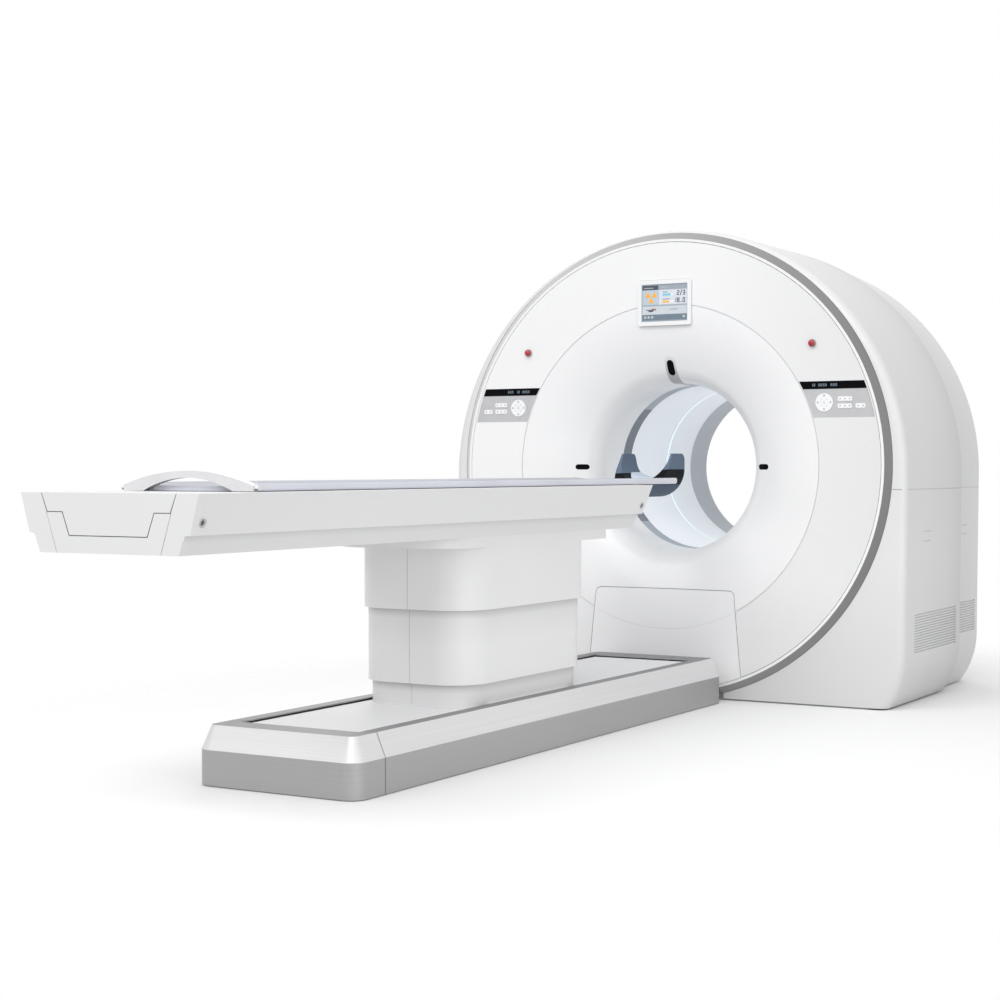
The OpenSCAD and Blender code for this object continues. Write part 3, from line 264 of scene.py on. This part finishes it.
SLOT_MATS = {
    "white_shell": moulded("white_shell", (0.84, 0.84, 0.845), 0.38, 0.012, 2.0, coat=0.15, bump=0.02),
    "face_white": moulded("face_white", (0.88, 0.88, 0.885), 0.30, 0.010, 2.0, coat=0.25),
    "silver_trim": along("trim_silver_painted_reflection", TRIM_REFLECTION_TONES, coat=0.0, axis="X"),
    "plinth_metal": brushed("plinth_metal", (0.40, 0.40, 0.405), 0.42, 0.45),
    "pad_grey": moulded("pad_grey", (0.53, 0.53, 0.54), 0.45, 0.03, 20.0),
    "display_black": moulded("display_black", (0.003, 0.003, 0.004), 0.4, 0.10, 10.0, spec=0.04),
    "key_white": moulded("key_white", (0.90, 0.90, 0.91), 0.42, 0.02, 40.0),
    "screen_glass": moulded("screen_glass", (0.30, 0.36, 0.42), 0.3, 0.04, 12.0, glow=0.05, spec=0.3),
    "bracket_grey": moulded("bracket_grey", (0.56, 0.59, 0.63), 0.40, 0.04, 8.0),
    "laser_black": moulded("laser_black", (0.003, 0.003, 0.004), 0.35, 0.10, 20.0, spec=0.04),
    # The scan window carries a painted reflection: a dark band across its middle
    "window_grey": painted_light_bands("window_grey", *WINDOW_REFLECTION_TONES, 0.715, 1.205, 0.0, 0.3, 0.4),
    # The liner glows a little: painted light that brightens the bore
    "liner_blue": moulded("liner_blue", (0.84, 0.87, 0.90), 0.35, 0.02, 3.0, glow=0.165),
    "light_line": moulded("light_line", (0.70, 0.92, 1.0), 0.4, 0.02, 8.0, glow=0.8),
    "works_steel": moulded("works_steel", (0.30, 0.31, 0.33), 0.45, 0.08, 10.0),
    "works_alloy": moulded("works_alloy", (0.60, 0.61, 0.63), 0.35, 0.06, 10.0, metal=0.9),
    "works_dark": moulded("works_dark", (0.10, 0.12, 0.14), 0.5, 0.10, 10.0),
    "stop_red": moulded("stop_red", (0.42, 0.015, 0.03), 0.30, 0.08, 60.0, coat=0.2),
    "stop_collar": moulded("stop_collar", (0.42, 0.41, 0.40), 0.45, 0.08, 60.0),
    "pallet_lavender": moulded("pallet_lavender", (0.70, 0.715, 0.78), 0.42, 0.03, 4.0, bump=0.03),
    # The head holder carries painted shade: a near-black band across it
    "holder_slate": painted_light_bands("holder_slate", *HOLDER_SHADE_TONES, 0.876, 0.936, 0.076, 0.5, 0.08),
    "pad_lavender": moulded("pad_lavender", (0.62, 0.68, 0.80), 0.75, 0.04, 30.0, bump=0.10),
}

# Materials of marks and seams, and of painted shade lines
STEEL = moulded("screw_steel", (0.52, 0.52, 0.53), 0.35, 0.05, 50.0, metal=0.3)
GREY = moulded("grey_inlay", (0.72, 0.73, 0.75), 0.42, 0.04, 12.0)
MARK = moulded("grey_mark", (0.40, 0.41, 0.43), 0.45, 0.05, 30.0)
DARK = moulded("seam_dark", (0.05, 0.05, 0.055), 0.6, 0.1, 20.0)
SEAM = moulded("seam_grey", (0.10, 0.10, 0.11), 0.6, 0.1, 20.0)
FAINT = moulded("seam_faint", (0.55, 0.55, 0.56), 0.6, 0.05, 20.0)
PALE = moulded("seam_pale", (0.66, 0.66, 0.67), 0.5, 0.05, 20.0)


# Materials of single pieces

def block_shells():
    """The gantry's two blocks, with painted shade: darker towards the groove between them and towards the
    floor.
    """
    painted_floor_shade = (0.60, 0.84)
    front_tones = [(-0.745, 0.75), (-0.70, 0.765), (-0.50, 0.755), (-0.20, 0.71), (0.0, 0.63)]
    rear_tones = [(0.0, 0.22), (0.006, 0.36), (0.014, 0.66), (0.10, 0.71), (0.50, 0.79)]
    front = along("shell_front_painted_shade", front_tones, painted_floor_shade=painted_floor_shade)
    rear = along("shell_rear_painted_shade", rear_tones, painted_floor_shade=painted_floor_shade)
    mats = {}
    for part in ("upper_cover_l", "upper_cover_r", "side_panel_l", "side_panel_r"):
        mats["front_" + part] = front
        mats["rear_" + part] = rear
    return mats


def pedestal_covers():
    """Soft shade on each pedestal cover, under the edge of the one above it."""
    mats = {}
    for upper, lower in (("top_cover", "middle_cover"), ("middle_cover", "lower_cover")):
        edge = low_of(upper).z
        tones = [(edge - 0.12, 0.84), (edge - 0.03, 0.78), (edge - 0.005, 0.62), (edge, 0.50)]
        mats[lower] = along(lower + "_white", tones, axis="Z")
    return mats


def bracket_painted_reflection():
    """The laser bracket is painted from dark to light up its bend: a painted reflection, as bare metal
    shows in a bright room.
    """
    foot, top = low_of("laser_bracket").z, high_of("laser_bracket").z
    return along("bracket_painted_reflection", [(foot, 0.40), ((foot + top) / 2, 0.56), (top, 0.82)], axis="Z")


def face_disc_painted_shade():
    """The disc's face has painted shade: a little darker on the right and towards the floor."""
    tones = [(-0.95, 0.89), (0.2, 0.88), (0.7, 0.80), (0.95, 0.76)]
    return along("face_disc_painted_shade", tones, 0.30, 0.25, "X", (0.50, 0.90))


def dress():
    """Give every CAD piece the material of its slot, or one of its own."""
    slots = {part["node"]: part["material_slot"] for part in frame["record"]["subparts"]}
    own = {
        "front_cover": face_disc_painted_shade(),
        "laser_bracket": bracket_painted_reflection(),
        # The track plate is painted lighter than the shells: painted light where the beam's shadow falls
        # on it
        "track_plate": moulded("track_white_painted_light", (0.90, 0.90, 0.905), 0.55, 0.01, 2.0, spec=0.15),
        "pallet_handle": moulded("handle_silver", (0.72, 0.72, 0.73), 0.30, 0.04, 8.0, metal=0.35),
        **block_shells(),
        **pedestal_covers(),
    }
    for name, obj in NODES.items():
        obj.data.materials.clear()
        obj.data.materials.append(own.get(name, SLOT_MATS[slots[name]]))


def paint(names, mat, chosen):
    """Give the faces whose normals are chosen one more material."""
    for name in names:
        mesh = NODES[name].data
        mesh.materials.append(mat)
        for poly in mesh.polygons:
            if chosen(poly.normal):
                poly.material_index = len(mesh.materials) - 1


def paint_plinth():
    """Painted light on the plinth: the slope along the top is painted lighter, as if it caught the light,
    and the level rim darker, as if it caught none.
    """
    names = ("plinth_end_foot", "plinth_end_head", "plinth_side_trims")
    level = 0.97
    paint(names, brushed("plinth_bevel_painted_light", (0.74, 0.74, 0.745), 0.38, 0.3), lambda n: 0.3 < n.z < level)
    paint(names, brushed("plinth_rim", (0.25, 0.25, 0.255), 0.45, 0.3), lambda n: n.z >= level)


def paint_couch():
    """The beam's sides have painted shade under their ledge, and its top is matt with a little painted
    shade.

    The pallet's top faces are darker, and its handle has painted shade on its underside.
    """
    beam = ("couch_beam", "foot_cap")
    tones = [(0.729, 0.80), (0.760, 0.79), (0.779, 0.70), (0.7805, 0.84), (0.887, 0.84)]
    top = moulded("beam_top_painted_shade", (0.79, 0.79, 0.795), 0.55, 0.01, 2.0, spec=0.15)
    mat = moulded("pallet_top", (0.47, 0.48, 0.525), 0.6, 0.03, 4.0, bump=0.03, spec=0.1)
    shade = moulded("handle_shade", (0.22, 0.22, 0.23), 0.4, 0.05, 8.0)
    paint(beam, along("beam_sides_painted_shade", tones, axis="Z"), lambda n: abs(n.x) > 0.5)
    paint(beam, top, lambda n: n.z > 0.9)
    paint(("pallet",), mat, lambda n: n.z > 0.7)
    paint(("pallet_handle",), shade, lambda n: n.z < -0.3)


# Outlines of (x, z) points

def corners(box):
    x0, z0, x1, z1 = box
    return [(x0, z0), (x1, z0), (x1, z1), (x0, z1)]


def disc(x, z, r, steps):
    turn = 2 * math.pi / steps
    return [(x + r * math.cos(turn * i), z + r * math.sin(turn * i)) for i in range(steps)]


def arc(x, z, r, a0, a1, steps=6):
    """Points on an arc; angles run from +Z towards +X."""
    angles = [a0 + (a1 - a0) * i / steps for i in range(steps + 1)]
    return [(x + r * math.sin(a), z + r * math.cos(a)) for a in angles]


def between(start, end, steps):
    """Points on a straight line, after its start and up to its end."""
    (x0, z0), (x1, z1) = start, end
    return [(x0 + (x1 - x0) * k / steps, z0 + (z1 - z0) * k / steps) for k in range(1, steps + 1)]


def skin_y(x, z, depth):
    """Y at a depth below the front skin, which is flat outside the seam circle and curved inside it."""
    r = math.hypot(x, z - ISO)
    if r >= SEAM_R:
        return FACE + depth
    return FACE + SWEEP - math.sqrt((SWEEP - depth) ** 2 - (SEAM_R - r) ** 2)


def on_skin(points, depth):
    return [(x, skin_y(x, z, depth), z) for x, z in points]


def mirrored(line):
    """A line of (x, y, z) points on the left and on the right."""
    return [[(s * x, y, z) for x, y, z in line] for s in (-1, 1)]


# Meshes

def add_mesh(name, verts, faces, mat, body):
    mesh = bpy.data.meshes.new(name)
    mesh.from_pydata([tuple(v) for v in verts], [], faces)
    mesh.update()
    obj = bpy.data.objects.new(name, mesh)
    obj.data.materials.append(mat)
    bpy.context.scene.collection.objects.link(obj)
    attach(obj, body)


def plates(name, outlines, y, mat, depth=PRINT):
    """Thin plates on the gantry's front, each an outline of (x, z) points."""
    verts, faces = [], []
    for pts in outlines:
        i, n = len(verts), len(pts)
        verts += [(x, y, z) for x, z in pts] + [(x, y + depth, z) for x, z in pts]
        faces.append(tuple(range(i, i + n)))
        faces.append(tuple(reversed(range(i + n, i + 2 * n))))
        faces += [(i + k, i + n + k, i + n + (k + 1) % n, i + (k + 1) % n) for k in range(n)]
    add_mesh(name, verts, faces, mat, "gantry")


def ring(name, r0, r1, y, mat, a0=0.0, a1=360.0, steps=180):
    """A flat ring, or part of one, round the bore axis; angles in degrees run from +X towards +Z."""
    closed = abs(a1 - a0) >= 360
    count = steps if closed else steps + 1
    verts, faces = [], []
    for i in range(count):
        a = math.radians(a0 + (a1 - a0) * i / steps)
        c, s = math.cos(a), math.sin(a)
        verts += [(r0 * c, y, ISO + r0 * s), (r1 * c, y, ISO + r1 * s)]
    for i in range(steps):
        a, b = 2 * i, 2 * ((i + 1) % count)
        faces.append((a, a + 1, b + 1, b))
    add_mesh(name, verts, faces, mat, "gantry")


def ribbon(name, lines, width, mat, body="gantry", across=None):
    """Narrow lines through points (x, y, z), flat towards the couch unless the way across is given."""
    verts, faces = [], []
    for pts in lines:
        start = len(verts)
        for i, point in enumerate(pts):
            here = Vector(point)
            back, ahead = Vector(pts[max(i - 1, 0)]), Vector(pts[min(i + 1, len(pts) - 1)])
            run = ahead - back
            side = (across or Vector((run.z, 0, -run.x))).normalized() * (width / 2)
            verts += [here - side, here + side]
        faces += [(i, i + 1, i + 3, i + 2) for i in range(start, start + 2 * len(pts) - 2, 2)]
    add_mesh(name, verts, faces, mat, body)


# Numbers of seven bars

BARS = {" ": "", "0": "abcdef", "1": "bc", "2": "abged", "3": "abgcd", "5": "afgcd", "8": "abcdefg"}
STROKE = 0.145


def digit(ch, x, z, w, h):
    """The bars of a digit as (x0, z0, x1, z1), from its lower left corner."""
    t = h * STROKE
    middle = z + h / 2
    bars = {
        "a": (x, z + h - t, x + w, z + h),
        "b": (x + w - t, middle, x + w, z + h),
        "c": (x + w - t, z, x + w, middle),
        "d": (x, z, x + w, z + t),
        "e": (x, z, x + t, middle),
        "f": (x, middle, x + t, z + h),
        "g": (x, middle - t / 2, x + w, middle + t / 2),
    }
    return [bars[k] for k in BARS[ch]]


# Screen picture: plain shapes and plain numbers, in millimetres from the picture's lower left corner

PICTURE_X, PICTURE_Z = -0.1, 1.560
WIDE, TALL = 200, 143
INK = (0.05, 0.07, 0.10)


def show(name, outlines, layer, mat):
    """Put outlines on the screen, in a layer in front of the glass."""
    placed = [[(PICTURE_X + x / 1000, PICTURE_Z + z / 1000) for x, z in pts] for pts in outlines]
    plates("screen_" + name, placed, GLASS - PROUD * layer, mat)


def panel(name, boxes, layer, rgb, glow):
    show(name, [corners(box) for box in boxes], layer, lit("ui_" + name, rgb, glow))


def screen():
    panel("header", [(73, 125, WIDE, TALL)], 0, (0.33, 0.38, 0.43), 0.05)
    panel("tab", [(0, 125, 71.5, TALL)], 0, (0.07, 0.08, 0.10), 0.02)
    panel("rule", [(0, 58, WIDE, 63)], 0, (0.36, 0.42, 0.48), 0.04)
    panel("card_l", [(0, 63.5, 73, 124)], 0, (0.49, 0.56, 0.62), 0.08)
    panel("card_r", [(74, 63.5, WIDE, 124)], 0, (0.64, 0.68, 0.72), 0.10)
    panel("row", [(0, 24, WIDE, 57.5)], 0, (0.58, 0.62, 0.66), 0.08)
    panel("foot", [(0, 0, WIDE, 23)], 0, (0.16, 0.21, 0.26), 0.04)

    half, height = 12.5, 22
    feet = ((25, 94.5), (54, 94.5), (39.5, 71.5))
    triangles = [[(x - half, z), (x + half, z), (x, z + height)] for x, z in feet]
    show("shapes", triangles, 2, lit("ui_orange", (0.86, 0.36, 0.03), 0.25))
    panel("bar", [(92, 100, 128, 108)], 2, (0.16, 0.50, 0.66), 0.2)
    panel("bar_warm", [(92, 71, 122, 79)], 2, (0.88, 0.42, 0.06), 0.2)
    panel("bar_rest", [(128, 100, 140, 108), (122, 71, 140, 79)], 2, (0.80, 0.82, 0.84), 0.1)
    captions = [(92, 113, 113, 116), (92, 84, 124, 87), (124, 42, 160, 44)]
    panel("captions", captions, 2, (0.20, 0.24, 0.28), 0.02)

    numbers = []
    for ch, x, z in (("2", 156, 100), ("3", 182, 100), ("1", 143, 70), ("8", 157, 70), ("0", 182, 70)):
        numbers += digit(ch, x, z, 10, 19)
    point = (173, 70, 177, 74)
    panel("marks", numbers + [point], 2, INK, 0.02)
    slash = [(169, 98), (172, 98), (179, 121), (176, 121)]
    show("slash", [slash], 2, lit("ui_slash", INK, 0.02))

    panel("titles", [(8, 131, 50, 134), (82, 132, 125, 135)], 2, (0.45, 0.49, 0.53), 0.06)
    panel("couch", [(16, 41, 62, 44), (28, 35, 50, 41)], 2, (0.10, 0.11, 0.13), 0.02)
    panel("figure", [(42, 44, 60, 48)], 2, (0.45, 0.16, 0.08), 0.04)
    panel("icons", [(x, 8, x + 10, 17) for x in (8, 24, 40, 182)], 2, (0.48, 0.56, 0.58), 0.06)


# Key pads: marks on the keys and round pads, and small readings on the black strips

# Rows of keys on the right: the row's middle and height, its width and how many keys it has
KEY_ROWS = ((0.775, 1.1946, 0.058, 3), (0.775, 1.2225, 0.058, 3), (0.839, 1.1946, 0.042, 2))
KEY_FRONT = low_of("panel_keys").y - 0.0002
STRIP_FRONT = low_of("display_strips").y - 0.0002
DIAL_X = 0.690
DIAL_Z = (low_of("round_pads").z + high_of("round_pads").z) / 2


def key_marks(s):
    """A dash on each key of one side, s being -1 on the left and 1 on the right."""
    wide, tall = 0.0035, 0.0020
    marks = []
    for centre, z, width, count in KEY_ROWS:
        for i in range(count):
            x = s * centre + (i - (count - 1) / 2) * width / count
            marks.append(corners((x - wide, z - tall, x + wide, z + tall)))
    return marks


def dial_dots(s, first, reach, size):
    """Four dots round a round pad, a quarter turn apart, the first at an angle in degrees."""
    angles = [math.radians(first + 90 * k) for k in range(4)]
    return [disc(s * DIAL_X + reach * math.cos(a), DIAL_Z + reach * math.sin(a), size, 12) for a in angles]


def readings(s):
    """Plain numbers on one black strip, from its inner end outwards."""
    foot, wide, tall, pitch = 1.2725, 0.0065, 0.0105, 0.0095
    bars = []
    for start, reading in ((0.636, "12 3050"), (0.716, "850")):
        for k, ch in enumerate(reading if s > 0 else reversed(reading)):
            near = start + pitch * k
            bars += digit(ch, near if s > 0 else -near - wide, foot, wide, tall)
    return [corners(bar) for bar in bars]


def keypads():
    marks, dots, faint, lights = [], [], [], []
    for s in (-1, 1):
        marks += key_marks(s)
        dots += dial_dots(s, 0, 0.0265, 0.0038)
        faint += dial_dots(s, 45, 0.017, 0.0028) + [disc(s * DIAL_X, DIAL_Z, 0.0065, 20)]
        lights += readings(s)
    plates("key_marks", marks, KEY_FRONT, MARK, PROUD)
    plates("dial_marks", dots, KEY_FRONT, MARK, PROUD)
    plates("dial_faint", faint, KEY_FRONT, GREY, PROUD)
    blue = lit("strip_blue", (0.28, 0.36, 0.44), 0.08)
    plates("strip_lights", lights, STRIP_FRONT, blue)


# Seams, and painted shade lines round the monitor and along the service cover's crease

def service_seam():
    """The gap round the service cover: a level top, a round corner and a sloping side."""
    top, radius = 0.449, 0.023
    centre = 0.29025
    slope = math.atan2(0.040, 0.405)
    corner = arc(centre, top - radius, radius, 0, math.pi / 2 - slope)
    level = [(0.0, top)] + between((0.0, top), (0.28, top), 14)
    side = between(corner[-1], (0.3455, 0.102), 20)
    ribbon("service_seam", mirrored(on_skin(level + corner + side, 0.0026)), 0.0030, SEAM)


def monitor_painted_shadow():
    """A fine painted shadow line round the monitor's frame."""
    low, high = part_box("monitor_bezel")
    radius = 0.012
    x = high.x - radius
    foot, top = low.z + radius, high.z - radius
    right, up = math.pi / 2, 0
    side = between((high.x, foot), (high.x, top), 12)[:-1]
    outline = [(0.0, low.z)] + arc(x, foot, radius, math.pi, right) + side
    outline += arc(x, top, radius, right, up) + [(0.0, high.z)]
    ribbon("monitor_painted_shadow", mirrored(on_skin(outline, -0.0004)), 0.0040, FAINT)


def rear_seam():
    """The joint round the rear cover."""
    edge = high_of("rear_cover")
    ring("rear_seam", edge.x - 0.0005, edge.x + 0.0020, edge.y + PROUD, FAINT)


def foot_panel_seam():
    """The stepped gap round the panel in the couch's foot."""
    y = low_of("foot_cap").y + 0.0008
    half = [(0.229, 0.887), (0.208, 0.836), (0.156, 0.836), (0.1325, 0.775), (0.0, 0.775)]
    line = [(x, y, z) for x, z in half]
    ribbon("foot_panel_seam", mirrored(line), 0.0030, DARK, "couch_top")


def plinth_seams():
    """The joint between the plinth's foot end and its side trims, up the wall and over the slope."""
    low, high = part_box("plinth_side_trims")
    wall, rim = high.x + 0.0005, high.z + 0.0004
    half = [(wall, low.z), (wall, 0.110), (0.2635, rim), (0.2180, rim)]
    line = [(x, low.y, z) for x, z in half]
    ribbon("plinth_seams", mirrored(line), 0.0022, SEAM, across=Vector((0, 1, 0)))


def cover_seam():
    """The joint between the front block's upper cover and its side panel, outside the trim ring."""
    low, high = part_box("front_side_panel_r")
    line = [(x, low.y - PROUD, high.z) for x in (0.9605, 1.000)]
    ribbon("cover_seam", mirrored(line), 0.0016, SEAM)


def pedestal_seams():
    """The upright joint in the middle of each pedestal cover's foot end."""
    riders = {"top_cover": "couch_top", "middle_cover": "middle_cover_body", "lower_cover": "pedestal"}
    for name, body in riders.items():
        low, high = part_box(name)
        y = low.y + 0.0012
        line = [(0, y, low.z + 0.001), (0, y, high.z - 0.001)]
        ribbon(name + "_seam", [line], 0.0019, FAINT, body)


def seams():
    ring("seam_circle", SEAM_R - 0.001, SEAM_R + 0.001, FACE + 0.0022, PALE)
    service_seam()
    monitor_painted_shadow()
    rear_seam()
    # On the service cover the arc is no joint: a painted shade line where the flat face turns into the
    # funnel
    ring("service_crease_painted_shade", SEAM_R - 0.0006, SEAM_R + 0.0008, FACE - PROUD, PALE, 243.2, 296.8, 60)
    foot_panel_seam()
    plinth_seams()
    cover_seam()
    pedestal_seams()


# Screws on the beam's leaning sides

# The foot of the right side, and the way that side faces
LEDGE_X, LEDGE_Z = 0.271, 0.781
LEAN = Vector((0.106, 0, -0.030))

# A screw's head: its radius and length, how far its middle stands out, and its socket's wall and depth
HEAD_R, HEAD_LONG, HEAD_OUT = 0.012, 0.004, 0.0015
SOCKET_WALL, SOCKET_DEEP = 0.005, 0.003


def beam_screw(number, s, y, z):
    x = LEDGE_X - (z - LEDGE_Z) * LEAN.z / LEAN.x
    normal = Vector((s * LEAN.x, 0, LEAN.z)).normalized()
    bpy.ops.mesh.primitive_cylinder_add(vertices=32, radius=HEAD_R, depth=HEAD_LONG)
    screw = bpy.context.object
    screw.name = "beam_screw_%d" % number
    spin = Vector((0, 0, 1)).rotation_difference(normal).to_matrix().to_4x4()
    screw.matrix_world = Matrix.Translation(Vector((s * x, y, z)) + normal * HEAD_OUT) @ spin
    mesh = bmesh.new()
    mesh.from_mesh(screw.data)
    socket = max(mesh.faces, key=lambda f: f.calc_center_median().z)
    bmesh.ops.inset_region(mesh, faces=[socket], thickness=SOCKET_WALL)
    bmesh.ops.translate(mesh, verts=socket.verts, vec=(0, 0, -SOCKET_DEEP))
    socket.material_index = 1
    mesh.to_mesh(screw.data)
    mesh.free()
    screw.data.materials.append(STEEL)
    screw.data.materials.append(SEAM)
    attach(screw, "couch_top")


def beam_screws():
    places = [(s, y, z) for s in (-1, 1) for y, z in ((-4.140, 0.813), (-1.573, 0.812))]
    for number, place in enumerate(places, 1):
        beam_screw(number, *place)


# World, lamps, floor and camera

def world():
    """Soft light from all round, and white where the camera, gloss or glass looks past the part."""
    studio = bpy.data.worlds.new("studio")
    bpy.context.scene.world = studio
    studio.use_nodes = True
    tree = studio.node_tree
    tree.nodes.clear()
    out = tree.nodes.new("ShaderNodeOutputWorld")
    mix = tree.nodes.new("ShaderNodeMixShader")
    light = tree.nodes.new("ShaderNodeBackground")
    light.inputs["Color"].default_value = (0.99, 0.995, 1.0, 1)
    light.inputs["Strength"].default_value = 0.50
    white = tree.nodes.new("ShaderNodeBackground")
    white.inputs["Color"].default_value = (1, 1, 1, 1)
    white.inputs["Strength"].default_value = 1.0
    path = tree.nodes.new("ShaderNodeLightPath")
    seen = path.outputs["Is Camera Ray"]
    for ray in ("Is Glossy Ray", "Is Transmission Ray"):
        both = tree.nodes.new("ShaderNodeMath")
        both.operation = "MAXIMUM"
        tree.links.new(seen, both.inputs[0])
        tree.links.new(path.outputs[ray], both.inputs[1])
        seen = both.outputs["Value"]
    tree.links.new(seen, mix.inputs["Fac"])
    tree.links.new(light.outputs["Background"], mix.inputs[1])
    tree.links.new(white.outputs["Background"], mix.inputs[2])
    tree.links.new(mix.outputs["Shader"], out.inputs["Surface"])


def lamp(name, place, target, size, watts):
    data = bpy.data.lights.new(name, "AREA")
    data.shape = "RECTANGLE"
    data.size, data.size_y = size
    data.energy = watts
    obj = bpy.data.objects.new(name, data)
    obj.location = place
    obj.rotation_euler = (Vector(target) - Vector(place)).to_track_quat("-Z", "Y").to_euler()
    bpy.context.scene.collection.objects.link(obj)


def lamps():
    lamp("key_l", (-5.0, -12.0, 11.0), (0, -1.2, 0.6), (9.0, 7.0), 600)
    lamp("key_r", (3.5, -12.0, 11.0), (0, -1.2, 0.6), (9.0, 7.0), 650)
    lamp("top", (0.0, -1.5, 7.0), (0, -1.5, 0), (8.0, 7.0), 80)
    lamp("side", (6.5, -6.0, 2.2), (0.2, -2.6, 0.5), (6.0, 5.0), 125)
    lamp("back", (-5.5, 7.5, 5.5), (0, 0.6, 0.9), (4.0, 4.0), 130)


def floor_white():
    """Pale floor that fades out in an oval round the part, so that no horizon shows."""
    mat = moulded("floor_white", (0.95, 0.95, 0.95), 0.8, 0.005, 0.5)
    tree = mat.node_tree
    coord = tree.nodes.new("ShaderNodeTexCoord")
    oval = tree.nodes.new("ShaderNodeMapping")
    oval.inputs["Scale"].default_value = (1.0, 0.62, 1.0)
    reach = tree.nodes.new("ShaderNodeVectorMath")
    reach.operation = "LENGTH"
    fade = range_node(tree, reach.outputs["Value"], 0.0, 1.0, 1.2, 2.5)
    fade.interpolation_type = "SMOOTHSTEP"
    clear = tree.nodes.new("ShaderNodeBsdfTransparent")
    mix = tree.nodes.new("ShaderNodeMixShader")
    tree.links.new(coord.outputs["Object"], oval.inputs["Vector"])
    tree.links.new(oval.outputs["Vector"], reach.inputs[0])
    tree.links.new(fade.outputs["Result"], mix.inputs["Fac"])
    tree.links.new(tree.nodes["Principled BSDF"].outputs["BSDF"], mix.inputs[1])
    tree.links.new(clear.outputs["BSDF"], mix.inputs[2])
    tree.links.new(mix.outputs["Shader"], tree.nodes["Material Output"].inputs["Surface"])
    return mat


def lay_floor():
    bpy.ops.mesh.primitive_plane_add(size=12, location=(0, -1.5, -0.0005))
    floor = bpy.context.object
    floor.name = "floor"
    floor.data.materials.append(floor_white())


def camera():
    """The photograph's camera, from the right of the couch's foot at about the height of the bore."""
    data = bpy.data.cameras.new("camera")
    data.sensor_width = 36
    data.lens = 67.26
    data.shift_x = 0.0341
    data.shift_y = 0.0604
    data.clip_end = 100
    obj = bpy.data.objects.new("camera", data)
    obj.location = (3.25469, -7.84287, 0.95287)
    turn, pitch = math.radians(30.75), math.radians(2.85)
    look = Vector((-math.sin(turn) * math.cos(pitch), math.cos(turn) * math.cos(pitch), -math.sin(pitch)))
    obj.rotation_euler = look.to_track_quat("-Z", "Y").to_euler()
    bpy.context.scene.collection.objects.link(obj)
    bpy.context.scene.camera = obj


dress()
paint_plinth()
paint_couch()
screen()
keypads()
seams()
beam_screws()
world()
lamps()
lay_floor()
camera()
bpy.context.scene.view_settings.view_transform = "Standard"
